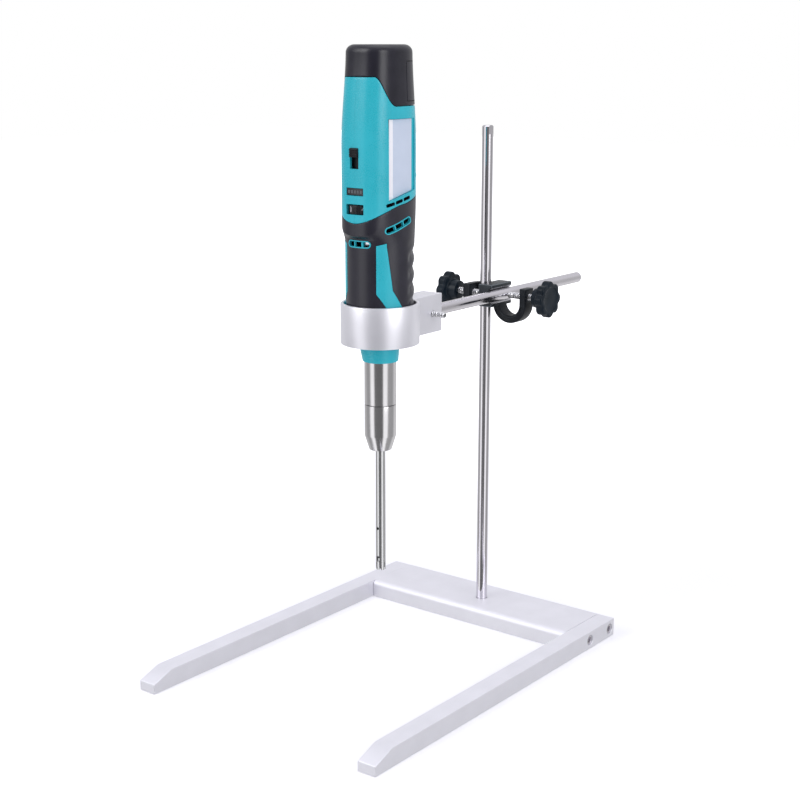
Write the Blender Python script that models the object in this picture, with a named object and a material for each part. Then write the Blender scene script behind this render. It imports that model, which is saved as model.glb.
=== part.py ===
"""Hand-held rotor stator homogenizer hanging in the ring of its laboratory stand.

Metres, +Z up. The origin is where the axis of the stand's upright rod meets the table.
The tool's switch side faces -Y, the arm rod runs along Y and the clamp screws along X.
"""

import math

import bmesh
import bpy
from mathutils import Matrix, Vector

# Clearances between pieces
GAP = 0.0003
RUN_GAP = 0.0003

# Stand base: two legs screwed to the ends of a crossbar
BASE_WIDTH = 0.250
BASE_LENGTH = 0.345
BASE_THICK = 0.016
LEG_WIDTH = 0.017
LEG_NOSE_LENGTH = 0.0207
LEG_NOSE_HEIGHT = 0.0086
CROSSBAR_DEPTH = 0.058
CROSSBAR_ROUND = 0.005
BASE_EDGE = 0.0006
LEG_SCREW_SPACING = 0.0335
LEG_SCREW_SETBACK = 0.0078
LEG_SCREW_RADIUS = 0.0025
LEG_SCREW_LENGTH = 0.026
SCREW_HEAD_RADIUS = 0.00425
SCREW_HEAD_HEIGHT = 0.005
SCREW_HEAD_SUNK = 0.0008
SOCKET_RADIUS = 0.0022
SOCKET_DEPTH = 0.0025

# Upright rod and arm rod
COLUMN_SETBACK = 0.030
ROD_RADIUS = 0.005
ROD_CHAMFER = 0.001
COLUMN_TOP = 0.452
COLUMN_SINK = 0.004
SPIGOT_RADIUS = 0.004
SPIGOT_LENGTH = 0.008
ROD_FLAT_LENGTH = 0.0075
ROD_FLAT_DEPTH = 0.0014
ARM_OFFSET = 0.015
ARM_HEIGHT = 0.304
ARM_REACH = 0.132
ARM_SOCKET_DEPTH = 0.030

# Boss head that clamps the arm rod to the upright rod
BOSS_HEIGHT = 0.020
BOSS_FRONT = 0.012
BOSS_BACK = 0.020
JAW_FACE = 0.0005
HOOK_WALL = 0.0066
UPRIGHT_HOOK_BORE = 0.0065
UPRIGHT_HOOK_CENTRE_Y = 0.0035
UPRIGHT_HOOK_LEG = 0.0115
ARM_HOOK_BORE = 0.01075
ARM_HOOK_DROP = 0.007
ARM_HOOK_DEPTH = 0.013
ARM_HOOK_Y = 0.006
ARM_HOOK_TOP = 0.0075
HOOK_BEVEL = 0.0009
HOOK_FACETS = 14

# Clamp screws with moulded star knobs
CLAMP_SCREW_RADIUS = 0.003
CLAMP_SCREW_PITCH = 0.001
KNOB_RADIUS = 0.016
KNOB_LOBES = 8
KNOB_LOBE_DEPTH = 0.0021
KNOB_FACETS = 6
KNOB_DISC = 0.008
KNOB_NECK = 0.008
KNOB_NECK_RADIUS = 0.0095
ARM_KNOB_STAND_OFF = 0.0065
COLUMN_KNOB_STAND_OFF = 0.0085
KNOB_BORE_DEPTH = 0.010

# Ring holder on the end of the arm
TOOL_DISTANCE = 0.170
RING_OUTER = 0.0318
RING_WALL = 0.0028
RING_HEIGHT = 0.033
RING_LIP_RADIUS = 0.021
RING_LIP_HEIGHT = 0.0055
BLOCK_WIDTH = 0.020
BLOCK_END = 0.100
BLOCK_EDGE = 0.0006
SET_SCREW_SETBACK = 0.0125
SET_SCREW_RADIUS = 0.0024
SET_SCREW_PROUD = 0.0125
SET_SCREW_SOCKET = 0.0013

# Hand-held tool. Heights are measured up from the shoulder that sits in the ring
TOP_HEIGHT = 0.2275
CAP_FRONT_TALL = 0.024
CAP_BACK_TALL = 0.046
CAP_STEP_START = math.radians(34.0)
CAP_STEP_END = math.radians(82.0)
CAP_EDGE_RADIUS = 0.006
CAP_SEAM_GAP = 0.0006
GRIP_SEAM_FRONT = 0.0925
GRIP_SEAM_RISE = 0.022
GRIP_SEAM_POWER = 1.3
GRIP_RADIUS = 0.02725
SHOULDER_HEIGHT = 0.0027
SHOULDER_HOLE = 0.019
WALL = 0.0025
INNER_FLAT = 0.0188
INNER_LIMIT = 0.0242
BELLY_WIDTH = 0.0238
BELLY_DEPTH = 0.0306
BELLY_SHIFT = 0.0008
CROWN_WIDTH = 0.0215
CROWN_DEPTH = 0.0262
CROWN_START = 0.150
SQUARENESS = 2.7
FRONT_STEP_LOW = 0.0800
FRONT_STEP_HIGH = 0.0835
BACK_STEP_LOW = 0.060
BACK_STEP_HIGH = 0.108
COLUMNS = 36

# Finger ridges on the back of the grip
RIDGE_PITCH = 0.0127
RIDGE_DEPTH = 0.0013
RIDGE_LOW = 0.018
RIDGE_HIGH = 0.080
RIDGE_CREST = 0.0755
RIDGE_START = math.radians(98.0)
RIDGE_FULL = math.radians(116.0)
RIDGE_SLOPE = 0.3
RIDGE_LEVEL_ANGLE = math.radians(128.0)
RIDGE_ROWS = 16

# Label recess in both flanks, with a plain plate on one of them
RECESS_PLANE = 0.0208
RECESS_HALF = 0.0164
RECESS_TOP_DROP = 0.0555
RECESS_BOTTOM_FRONT = 0.1099
RECESS_BOTTOM_BACK = 0.1170
PLATE_THICK = 0.0004

# Controls on the front
SWITCH_SLOT_WIDTH = 0.0085
SWITCH_SLOT_LOW = 0.1345
SWITCH_SLOT_HIGH = 0.1505
SLIDER_HEIGHT = 0.0068
SLIDER_PROUD = 0.0016
SWITCH_BODY_WIDTH = 0.012
SWITCH_BODY_FACE = 0.0270
SWITCH_BODY_DEPTH = 0.0060
GAUGE_WIDTH = 0.0166
GAUGE_HEIGHT = 0.006
GAUGE_LEVEL = 0.1171
DIAL_WINDOW_WIDTH = 0.017
DIAL_WINDOW_HEIGHT = 0.008
DIAL_LEVEL = 0.1035
DIAL_RADIUS = 0.009
DIAL_PROUD = 0.0008
DIAL_THICK = 0.0066
DIAL_RIBS = 24
DIAL_SHAFT_RADIUS = 0.0015
BOARD_FACE = 0.0135
BOARD_THICK = 0.0016
BOARD_WIDTH = 0.030
BOARD_LOW = 0.088
BOARD_DROP = 0.0215

# Vents and inlays
FRONT_VENT_WIDTH = 0.022
FRONT_VENT_HEIGHT = 0.0058
FRONT_VENT_LEVEL = 0.0763
SIDE_VENT_LENGTH = 0.0298
SIDE_VENT_HEIGHT = 0.0058
SIDE_VENT_Y = -0.0056
SIDE_VENT_LEVEL = 0.0905
SIDE_VENT_TILT = math.radians(16.0)
UPPER_SLOT_LENGTH = 0.0288
UPPER_SLOT_HEIGHT = 0.0026
UPPER_SLOT_Y = -0.0053
UPPER_SLOT_LEVEL = 0.1090
UPPER_SLOT_TILT = math.radians(11.1)
VENT_RIM = 0.0012
VENT_SLOT_GAP = 0.0012
INLAY_PROUD = 0.0003
INLAY_DEPTH = 0.0013
STRIP_TOP = 0.0755
STRIP_BEND = 0.0375
STRIP_FRONT = -0.0230
STRIP_TOP_WIDTH = 0.0052
STRIP_BEND_WIDTH = 0.0095
STRIP_FOOT_WIDTH = 0.0144
STRIP_FOOT_SHIFT = 0.0146
STRIP_FOOT_RISE = 0.004
STRIP_BEND_RISE = 0.0026
STRIP_TOP_RISE = 0.002

# Nose, sleeve and dispersing probe below the grip
NOSE_LENGTH = 0.0205
NOSE_MID = 0.0055
NOSE_MID_RADIUS = 0.0166
NOSE_END_RADIUS = 0.0146
NOSE_MID_SHIFT = -0.0012
NOSE_END_SHIFT = 0.0003
NOSE_EDGE = 0.0009
NOSE_FLANGE_RADIUS = 0.0232
NOSE_FLANGE_HEIGHT = 0.003
SLEEVE_RADIUS = 0.0130
SLEEVE_BORE = 0.0104
SLEEVE_TOP = 0.0063
SLEEVE_SEAM = 0.0559
CONE_START = 0.0819
CONE_END = 0.0941
CONE_END_RADIUS = 0.0092
SPIGOT_HEIGHT = 0.024
PROBE_RADIUS = 0.0041
PROBE_BORE = 0.0033
PROBE_TIP = 0.1975
PROBE_TOP = 0.062
PROBE_TEETH = 6
TOOTH_SLOT_WIDTH = 0.0014
TOOTH_SLOT_HEIGHT = 0.0065
WINDOW_LEVEL = 0.1878
WINDOW_HEIGHT = 0.0046
WINDOW_WIDTH = 0.0030
VENT_HOLE_LEVEL = 0.1615
VENT_HOLE_RADIUS = 0.0012
SHAFT_RADIUS = 0.0015
SHAFT_TOP = 0.029
ROTOR_RADIUS = 0.0029
ROTOR_LENGTH = 0.009
ROTOR_SLOT = 0.0016
ROTOR_SLOT_STOP = 0.002
ROTOR_RISE = 0.0008
BUSH_LENGTH = 0.008
BUSH_LEVELS = (0.110, 0.172)
SEAL_LEVEL = 0.044
SEAL_TUBE = 0.0010

# Motor and drive inside the grip
MOTOR_RADIUS = 0.0185
MOTOR_LOW = 0.022
MOTOR_LENGTH = 0.056
MOTOR_WALL = 0.0015
MOTOR_NECK_HOLE = 0.005
MOTOR_BUSH_LENGTH = 0.0035
ARMATURE_RADIUS = 0.0125
ARMATURE_LENGTH = 0.034
MOTOR_SHAFT_RADIUS = 0.0016
MOTOR_SHAFT_END = 0.018
MOUNT_RADIUS = 0.0237
MOUNT_THICK = 0.0032
MOUNT_SKIRT_RADIUS = 0.0165
COUPLING_RADIUS = 0.006
COUPLING_LENGTH = 0.016
COUPLING_SLOT = 0.0024
COUPLING_GRIP = 0.006
COUPLING_SLOT_HALF = 0.0045
COUPLING_SLOT_TALL = 0.005
DOG_HALF = 0.0042
DOG_REACH = 0.004
BEARING_LEVEL = 0.002
BEARING_HEIGHT = 0.006

# Battery pack
STEM_WIDTH = 0.0182
STEM_DEPTH = 0.0196
STEM_REACH = 0.074
STEM_WALL = 0.0008
STEM_CORNER = 0.0095
CELL_RADIUS = 0.0091
CELL_LENGTH = 0.065
CELL_FLOOR = 0.0012
LATCH_ANGLE_FROM = math.radians(98.0)
LATCH_ANGLE_TO = math.radians(131.0)
LATCH_FOOT_DROP = 0.0425
LATCH_HEAD_DROP = 0.0125
LATCH_DEPTH = 0.0022
LATCH_TRAVEL = 0.0010
CONTACT_HEIGHT = 0.006
CONTACT_WIDTH = 0.0016
CONTACT_SPACING = 0.008
CONTACT_BLADE_REACH = 0.005
CONTACT_SLOT_REACH = 0.006
CONTACT_BLOCK_HALF = (0.0125, 0.009)
HOUSING_SCREW_RADIUS = 0.0014
HOUSING_SCREW_HEAD = 0.0026
HOUSING_SCREW_HEAD_TALL = 0.0021
SCREW_BITE = 0.0075
GRIP_SCREW_Y = 0.0205
GRIP_SCREW_LEVEL = 0.0120
HOUSING_SCREW_Y = 0.0190
HOUSING_SCREW_LEVEL = 0.1275
SCREW_BOSS_RADIUS = 0.0037

# Heights and places that follow from the sizes above
CAP_SEAM_FRONT = TOP_HEIGHT - CAP_FRONT_TALL
CAP_SEAM_BACK = TOP_HEIGHT - CAP_BACK_TALL
RECESS_TOP = TOP_HEIGHT - RECESS_TOP_DROP
STEM_LOW = TOP_HEIGHT - STEM_REACH
BOARD_HIGH = STEM_LOW - BOARD_DROP
LATCH_LOW = TOP_HEIGHT - LATCH_FOOT_DROP
LATCH_HIGH = TOP_HEIGHT - LATCH_HEAD_DROP
GRIP_SCREW_SPOTS = ((-GRIP_SCREW_Y, GRIP_SCREW_LEVEL), (GRIP_SCREW_Y, GRIP_SCREW_LEVEL))
HOUSING_SCREW_SPOTS = ((-HOUSING_SCREW_Y, HOUSING_SCREW_LEVEL), (HOUSING_SCREW_Y, HOUSING_SCREW_LEVEL))
COUPLING_TOP = COUPLING_GRIP - MOTOR_SHAFT_END
RING_TOP = ARM_HEIGHT + RING_HEIGHT / 2
RING_BOTTOM = ARM_HEIGHT - RING_HEIGHT / 2
SEAT_HEIGHT = RING_BOTTOM + RING_LIP_HEIGHT + GAP
LEG_TIP_Y = COLUMN_SETBACK - BASE_LENGTH
JAW_MIDDLE = ARM_OFFSET / 2
STAND_ROD_CENTRE = Vector((ARM_OFFSET, 0.0, ARM_HEIGHT))


def clear_scene():
    for item in list(bpy.context.scene.objects):
        bpy.data.objects.remove(item, do_unlink=True)


def material(name, colour, roughness, metallic=0.0):
    made = bpy.data.materials.new(name)
    made.use_nodes = True
    shader = made.node_tree.nodes["Principled BSDF"]
    shader.inputs["Base Color"].default_value = (*colour, 1.0)
    shader.inputs["Roughness"].default_value = roughness
    shader.inputs["Metallic"].default_value = metallic
    return made


def satin_aluminium():
    return material("satin_aluminium", (0.66, 0.66, 0.70), 0.38, 1.0)


def polished_steel():
    return material("polished_steel", (0.62, 0.61, 0.62), 0.18, 1.0)


def black_casting():
    return material("black_casting", (0.022, 0.027, 0.030), 0.42)


def black_knob_plastic():
    return material("black_knob_plastic", (0.020, 0.024, 0.028), 0.38)


def teal_plastic():
    return material("teal_plastic", (0.045, 0.44, 0.55), 0.42)


def charcoal_grip():
    return material("charcoal_grip", (0.048, 0.045, 0.058), 0.55)


def dark_plastic():
    return material("dark_plastic", (0.030, 0.029, 0.036), 0.45)


def label_plastic():
    return material("label_plastic", (0.60, 0.63, 0.74), 0.45)


def board_green():
    return material("board_green", (0.02, 0.16, 0.07), 0.50)


def copper_winding():
    return material("copper_winding", (0.55, 0.22, 0.10), 0.40, 0.8)


def cell_wrap():
    return material("cell_wrap", (0.05, 0.16, 0.42), 0.45)


def soft_black_rubber():
    return material("soft_black_rubber", (0.015, 0.015, 0.016), 0.70)


def white_polymer():
    return material("white_polymer", (0.80, 0.80, 0.78), 0.50)


def finish_mesh(bm, name):
    """Merge doubles, face outwards and give the mesh smooth shading with sharp edges kept."""
    bmesh.ops.remove_doubles(bm, verts=bm.verts, dist=1e-7)
    bmesh.ops.recalc_face_normals(bm, faces=bm.faces)
    mesh = bpy.data.meshes.new(name)
    bm.to_mesh(mesh)
    bm.free()
    mesh.shade_smooth()
    mesh.set_sharp_from_angle(angle=math.radians(35.0))
    return mesh


def add_object(name, bm, finish=None, place=(0.0, 0.0, 0.0), turn=(0.0, 0.0, 0.0), parent=None):
    mesh = finish_mesh(bm, name)
    if finish is not None:
        mesh.materials.append(finish)
    made = bpy.data.objects.new(name, mesh)
    made.location = place
    made.rotation_euler = turn
    made.parent = parent
    bpy.context.scene.collection.objects.link(made)
    return made


def add_empty(name, place, parent=None):
    made = bpy.data.objects.new(name, None)
    made.location = place
    made.parent = parent
    bpy.context.scene.collection.objects.link(made)
    return made


def add_bevel(target, width, segments=2):
    bevel = target.modifiers.new("edge", "BEVEL")
    bevel.width = width
    bevel.segments = segments
    bevel.limit_method = "ANGLE"
    bevel.angle_limit = math.radians(40.0)


def combine(target, tool, operation):
    """Boolean of a hidden helper with its target, kept live."""
    tool.hide_render = True
    tool.display_type = "WIRE"
    step = target.modifiers.new(operation.lower(), "BOOLEAN")
    step.operation = operation
    step.solver = "EXACT"
    step.object = tool


def add_box(bm, low, high):
    """Axis-aligned box between two corners."""
    low = Vector(low)
    high = Vector(high)
    size = high - low
    shape = bmesh.ops.create_cube(bm, size=1.0)
    place = Matrix.Translation((low + high) / 2) @ Matrix.Diagonal((*size, 1.0))
    bmesh.ops.transform(bm, matrix=place, verts=shape["verts"])
    return shape["verts"]


def add_cylinder(bm, radius, start, end, segments=24):
    """Closed cylinder between two points."""
    start = Vector(start)
    end = Vector(end)
    span = end - start
    shape = bmesh.ops.create_cone(
        bm, cap_ends=True, segments=segments, radius1=radius, radius2=radius, depth=span.length
    )
    place = Matrix.Translation((start + end) / 2) @ span.to_track_quat("Z", "Y").to_matrix().to_4x4()
    bmesh.ops.transform(bm, matrix=place, verts=shape["verts"])
    return shape["verts"]


def add_prism(bm, outline, thickness, frame):
    """Extrude a flat outline, given in the frame's XY plane, along the frame's Z."""
    corners = [bm.verts.new((x, y, 0.0)) for x, y in outline]
    face = bm.faces.new(corners)
    grown = bmesh.ops.extrude_face_region(bm, geom=[face])["geom"]
    raised = [item for item in grown if isinstance(item, bmesh.types.BMVert)]
    bmesh.ops.translate(bm, verts=raised, vec=(0.0, 0.0, thickness))
    bmesh.ops.transform(bm, matrix=frame, verts=corners + raised)
    return corners + raised


def add_turned(bm, profile, segments=32):
    """Spin a closed (radius, height) profile about Z."""
    points = [bm.verts.new((radius, 0.0, height)) for radius, height in profile]
    edges = []
    for index, point in enumerate(points):
        following = points[(index + 1) % len(points)]
        if point.co.x > 0.0 or following.co.x > 0.0:
            edges.append(bm.edges.new((point, following)))
    bmesh.ops.spin(
        bm,
        geom=edges,
        cent=(0.0, 0.0, 0.0),
        axis=(0.0, 0.0, 1.0),
        angle=math.tau,
        steps=segments,
        use_merge=True,
    )
    loose = [vert for vert in bm.verts if not vert.link_faces]
    bmesh.ops.delete(bm, geom=loose, context="VERTS")
    bmesh.ops.remove_doubles(bm, verts=bm.verts, dist=1e-7)


def turned_object(name, profile, finish, segments=32, place=(0, 0, 0), turn=(0, 0, 0), parent=None):
    bm = bmesh.new()
    add_turned(bm, profile, segments)
    return add_object(name, bm, finish, place, turn, parent)


def ring_profile(outer, inner, low, high, edge=0.0):
    """Profile of a tube whose outer rims have a small chamfer."""
    return [
        (inner, low),
        (outer - edge, low),
        (outer, low + edge),
        (outer, high - edge),
        (outer - edge, high),
        (inner, high),
    ] if edge > 0.0 else [(inner, low), (outer, low), (outer, high), (inner, high)]


def smooth_step(value):
    limited = min(max(value, 0.0), 1.0)
    return limited * limited * (3.0 - 2.0 * limited)


def mix(first, second, share):
    return first + (second - first) * share


ALONG_X = (0.0, math.pi / 2, 0.0)
AGAINST_X = (0.0, -math.pi / 2, 0.0)


def build_base():
    steel = satin_aluminium()
    inner_edge = BASE_WIDTH / 2 - LEG_WIDTH
    back = COLUMN_SETBACK
    front = COLUMN_SETBACK - CROSSBAR_DEPTH

    bm = bmesh.new()
    add_box(bm, (-inner_edge + GAP, front, 0.0), (inner_edge - GAP, back, BASE_THICK))
    top_front = [
        edge
        for edge in bm.edges
        if all(abs(v.co.y - front) < 1e-6 and abs(v.co.z - BASE_THICK) < 1e-6 for v in edge.verts)
    ]
    bmesh.ops.bevel(
        bm, geom=top_front, offset=CROSSBAR_ROUND, segments=6, profile=0.5, affect="EDGES"
    )
    crossbar = add_object("crossbar", bm, steel)
    bm = bmesh.new()
    sink = BASE_THICK - COLUMN_SINK - GAP
    add_cylinder(bm, ROD_RADIUS + GAP, (0.0, 0.0, sink), (0.0, 0.0, BASE_THICK + GAP), 32)
    combine(crossbar, add_object("rod_seat_cut", bm), "DIFFERENCE")
    bm = bmesh.new()
    floor = sink - SPIGOT_LENGTH
    add_cylinder(bm, SPIGOT_RADIUS + GAP, (0.0, 0.0, floor), (0.0, 0.0, sink + GAP), 24)
    combine(crossbar, add_object("spigot_cut", bm), "DIFFERENCE")

    spots = leg_screw_spots()
    bm = bmesh.new()
    for side in (-1, 1):
        for y in spots:
            tip = side * (BASE_WIDTH / 2 - LEG_SCREW_LENGTH - SCREW_HEAD_HEIGHT - SCREW_HEAD_SUNK - 2 * GAP)
            start = (tip, y, BASE_THICK / 2)
            end = (side * inner_edge, y, BASE_THICK / 2)
            add_cylinder(bm, LEG_SCREW_RADIUS + GAP, start, end, 12)
    combine(crossbar, add_object("crossbar_tap_cut", bm), "DIFFERENCE")

    outline = [
        (back, 0.0),
        (back, BASE_THICK),
        (LEG_TIP_Y + LEG_NOSE_LENGTH, BASE_THICK),
        (LEG_TIP_Y, LEG_NOSE_HEIGHT),
        (LEG_TIP_Y, 0.0),
    ]
    for name, side in (("left_leg", -1), ("right_leg", 1)):
        bm = bmesh.new()
        start = inner_edge if side > 0 else -BASE_WIDTH / 2
        frame = Matrix.Translation((start, 0.0, 0.0)) @ Matrix(
            ((0.0, 0.0, 1.0), (1.0, 0.0, 0.0), (0.0, 1.0, 0.0))
        ).to_4x4()
        add_prism(bm, outline, LEG_WIDTH, frame)
        leg = add_object(name, bm, steel)
        add_bevel(leg, BASE_EDGE)
        bm = bmesh.new()
        outer = side * (BASE_WIDTH / 2 + GAP)
        sunk = side * (BASE_WIDTH / 2 - SCREW_HEAD_HEIGHT - SCREW_HEAD_SUNK - GAP)
        for y in spots:
            add_cylinder(
                bm, SCREW_HEAD_RADIUS + GAP, (sunk, y, BASE_THICK / 2), (outer, y, BASE_THICK / 2), 20
            )
        combine(leg, add_object(name + "_counterbore_cut", bm), "DIFFERENCE")
        bm = bmesh.new()
        for y in spots:
            add_cylinder(
                bm,
                LEG_SCREW_RADIUS + GAP,
                (side * (inner_edge - GAP), y, BASE_THICK / 2),
                (sunk + side * GAP, y, BASE_THICK / 2),
                12,
            )
        combine(leg, add_object(name + "_shank_cut", bm), "DIFFERENCE")
    build_leg_screws(spots)


def leg_screw_spots():
    first = COLUMN_SETBACK - LEG_SCREW_SETBACK
    return (first, first - LEG_SCREW_SPACING)


def build_leg_screws(spots):
    """Socket head screws, two through the side of each leg."""
    top = BASE_WIDTH / 2 - SCREW_HEAD_SUNK
    neck = top - SCREW_HEAD_HEIGHT
    tip = neck - LEG_SCREW_LENGTH
    profile = [
        (0.0, tip),
        (LEG_SCREW_RADIUS, tip),
        (LEG_SCREW_RADIUS, neck),
        (SCREW_HEAD_RADIUS, neck),
        (SCREW_HEAD_RADIUS, top),
        (SOCKET_RADIUS, top),
        (SOCKET_RADIUS, top - SOCKET_DEPTH),
        (0.0, top - SOCKET_DEPTH),
    ]
    steel = polished_steel()
    for side, turn in (("left", AGAINST_X), ("right", ALONG_X)):
        for spot, y in zip(("back", "front"), spots):
            name = "leg_screw_%s_%s" % (side, spot)
            turned_object(name, profile, steel, 12, (0.0, y, BASE_THICK / 2), turn)


def build_rods():
    steel = polished_steel()
    sink = BASE_THICK - COLUMN_SINK
    profile = [
        (0.0, sink - SPIGOT_LENGTH + GAP),
        (SPIGOT_RADIUS, sink - SPIGOT_LENGTH + GAP),
        (SPIGOT_RADIUS, sink),
        (ROD_RADIUS, sink),
        (ROD_RADIUS, COLUMN_TOP - ROD_CHAMFER),
        (ROD_RADIUS - ROD_CHAMFER, COLUMN_TOP),
        (0.0, COLUMN_TOP),
    ]
    upright = turned_object("upright_rod", profile, steel, 36)
    bm = bmesh.new()
    add_box(
        bm,
        (ROD_RADIUS - ROD_FLAT_DEPTH, -ROD_RADIUS, COLUMN_TOP - ROD_FLAT_LENGTH),
        (ROD_RADIUS * 2, ROD_RADIUS, COLUMN_TOP + ROD_FLAT_DEPTH),
    )
    combine(upright, add_object("rod_flat_cut", bm), "DIFFERENCE")

    near = -(BLOCK_END + ARM_SOCKET_DEPTH)
    profile = [
        (0.0, near),
        (ROD_RADIUS - ROD_CHAMFER, near),
        (ROD_RADIUS, near + ROD_CHAMFER),
        (ROD_RADIUS, ARM_REACH - ROD_CHAMFER),
        (ROD_RADIUS - ROD_CHAMFER, ARM_REACH),
        (0.0, ARM_REACH),
    ]
    turned_object("arm_rod", profile, steel, 36, STAND_ROD_CENTRE, (-math.pi / 2, 0.0, 0.0))


def hook_outline(inner, wall, leg_inner, leg_outer):
    """U outline opening towards +Y of its own plane, round end at the bottom."""
    outer = inner + wall
    points = [(-outer, leg_outer), (-inner, leg_outer)]
    for step in range(HOOK_FACETS + 1):
        angle = math.pi + math.pi * step / HOOK_FACETS
        points.append((inner * math.cos(angle), inner * math.sin(angle)))
    points += [(inner, leg_inner), (outer, leg_inner)]
    for step in range(HOOK_FACETS + 1):
        angle = -math.pi * step / HOOK_FACETS
        points.append((outer * math.cos(angle), outer * math.sin(angle)))
    return points


def arm_lug_outer():
    return JAW_MIDDLE + jaw_half() + 2 * ARM_HOOK_BORE + HOOK_WALL


def column_lug_outer():
    return JAW_MIDDLE - jaw_half() - 2 * UPRIGHT_HOOK_BORE - HOOK_WALL


def jaw_half():
    return JAW_MIDDLE - JAW_FACE


def jaw_groove(seat):
    """V with a flat floor that keeps the running gap to a rod lying in it."""
    reach = (ROD_RADIUS + RUN_GAP) * math.sqrt(2.0)
    floor = ROD_RADIUS + RUN_GAP
    mouth = -ROD_RADIUS
    return [
        (seat * mouth, -(reach - mouth)),
        (seat * floor, -(reach - floor)),
        (seat * floor, reach - floor),
        (seat * mouth, reach - mouth),
    ]


def build_boss_head():
    """Die-cast S of two hooks at right angles on one web, with a V jaw for each rod."""
    casting = black_casting()
    half = jaw_half()
    bm = bmesh.new()
    add_box(
        bm,
        (JAW_MIDDLE - half, -BOSS_FRONT, ARM_HEIGHT - BOSS_HEIGHT / 2),
        (JAW_MIDDLE + half, BOSS_BACK, ARM_HEIGHT + BOSS_HEIGHT / 2),
    )
    boss = add_object("boss_head", bm, casting)
    add_bevel(boss, HOOK_BEVEL)

    # Hook round the upright rod lies flat and opens to the front
    bm = bmesh.new()
    outline = hook_outline(UPRIGHT_HOOK_BORE, HOOK_WALL, 0.0, UPRIGHT_HOOK_LEG)
    centre = (JAW_MIDDLE - half - UPRIGHT_HOOK_BORE, UPRIGHT_HOOK_CENTRE_Y, 0.0)
    height = BOSS_HEIGHT - 4 * HOOK_BEVEL
    frame = Matrix.Translation((centre[0], centre[1], ARM_HEIGHT - height / 2)) @ Matrix(
        ((1.0, 0.0, 0.0), (0.0, -1.0, 0.0), (0.0, 0.0, 1.0))
    ).to_4x4()
    add_prism(bm, outline, height, frame)
    column_hook = add_object("column_hook_form", bm)
    add_bevel(column_hook, HOOK_BEVEL)
    combine(boss, column_hook, "UNION")

    # Hook under the arm rod stands upright and opens to the top
    bm = bmesh.new()
    lug_top = ARM_HOOK_DROP + ARM_HOOK_TOP
    outline = hook_outline(ARM_HOOK_BORE, HOOK_WALL, 0.0, lug_top)
    outline = [(-x, y) for x, y in outline]
    outline.reverse()
    centre_x = JAW_MIDDLE + half + ARM_HOOK_BORE
    frame = Matrix.Translation(
        (centre_x, ARM_HOOK_Y + ARM_HOOK_DEPTH / 2, ARM_HEIGHT - ARM_HOOK_DROP)
    ) @ Matrix(((1.0, 0.0, 0.0), (0.0, 0.0, -1.0), (0.0, 1.0, 0.0))).to_4x4()
    add_prism(bm, outline, ARM_HOOK_DEPTH, frame)
    arm_hook = add_object("arm_hook_form", bm)
    add_bevel(arm_hook, HOOK_BEVEL)
    combine(boss, arm_hook, "UNION")

    bm = bmesh.new()
    groove = jaw_groove(1.0)
    frame = Matrix.Translation((0.0, 0.0, ARM_HEIGHT - BOSS_HEIGHT))
    add_prism(bm, groove, 2 * BOSS_HEIGHT, frame)
    combine(boss, add_object("column_jaw_cut", bm), "DIFFERENCE")
    bm = bmesh.new()
    groove = jaw_groove(-1.0)
    frame = Matrix.Translation((ARM_OFFSET, BOSS_BACK * 2, ARM_HEIGHT)) @ Matrix(
        ((1.0, 0.0, 0.0), (0.0, 0.0, -1.0), (0.0, 1.0, 0.0))
    ).to_4x4()
    add_prism(bm, groove, BOSS_BACK * 4, frame)
    combine(boss, add_object("arm_jaw_cut", bm), "DIFFERENCE")

    bm = bmesh.new()
    tapped = CLAMP_SCREW_RADIUS + RUN_GAP
    lug = arm_lug_outer()
    add_cylinder(
        bm,
        tapped,
        (lug - HOOK_WALL - GAP, ARM_HOOK_Y, ARM_HEIGHT),
        (lug + GAP, ARM_HOOK_Y, ARM_HEIGHT),
        20,
    )
    combine(boss, add_object("arm_screw_cut", bm), "DIFFERENCE")
    bm = bmesh.new()
    lug = column_lug_outer()
    add_cylinder(bm, tapped, (lug - GAP, 0.0, ARM_HEIGHT), (lug + HOOK_WALL + GAP, 0.0, ARM_HEIGHT), 20)
    combine(boss, add_object("column_screw_cut", bm), "DIFFERENCE")


def add_knob(name, place, turn):
    """Star knob: lobed disc with a rounded rim on a tapered neck, bored for its stud."""
    bm = bmesh.new()
    steps = KNOB_LOBES * KNOB_FACETS
    rim = 0.0012

    def ring(height, shrink, lobed):
        points = []
        for index in range(steps):
            angle = math.tau * index / steps
            wave = KNOB_LOBE_DEPTH * (0.5 - 0.5 * math.cos(KNOB_LOBES * angle)) ** 1.5 if lobed else 0.0
            radius = shrink - wave
            points.append(bm.verts.new((radius * math.cos(angle), radius * math.sin(angle), height)))
        return points

    rings = [
        ring(0.0, KNOB_NECK_RADIUS - 0.001, False),
        ring(KNOB_NECK, KNOB_NECK_RADIUS, False),
        ring(KNOB_NECK, KNOB_RADIUS - rim, True),
        ring(KNOB_NECK + rim, KNOB_RADIUS, True),
        ring(KNOB_NECK + KNOB_DISC - rim, KNOB_RADIUS, True),
        ring(KNOB_NECK + KNOB_DISC, KNOB_RADIUS - rim, True),
    ]
    for lower, upper in zip(rings, rings[1:]):
        for index in range(steps):
            other = (index + 1) % steps
            bm.faces.new((lower[index], lower[other], upper[other], upper[index]))
    bm.faces.new(rings[-1])
    bm.faces.new(list(reversed(rings[0])))
    knob = add_object(name, bm, black_knob_plastic(), place, turn)
    bm = bmesh.new()
    add_cylinder(bm, CLAMP_SCREW_RADIUS + GAP, (0.0, 0.0, -GAP), (0.0, 0.0, KNOB_BORE_DEPTH), 16)
    cutter = add_object(name + "_bore_cut", bm, None, place, turn)
    combine(knob, cutter, "DIFFERENCE")


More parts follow.
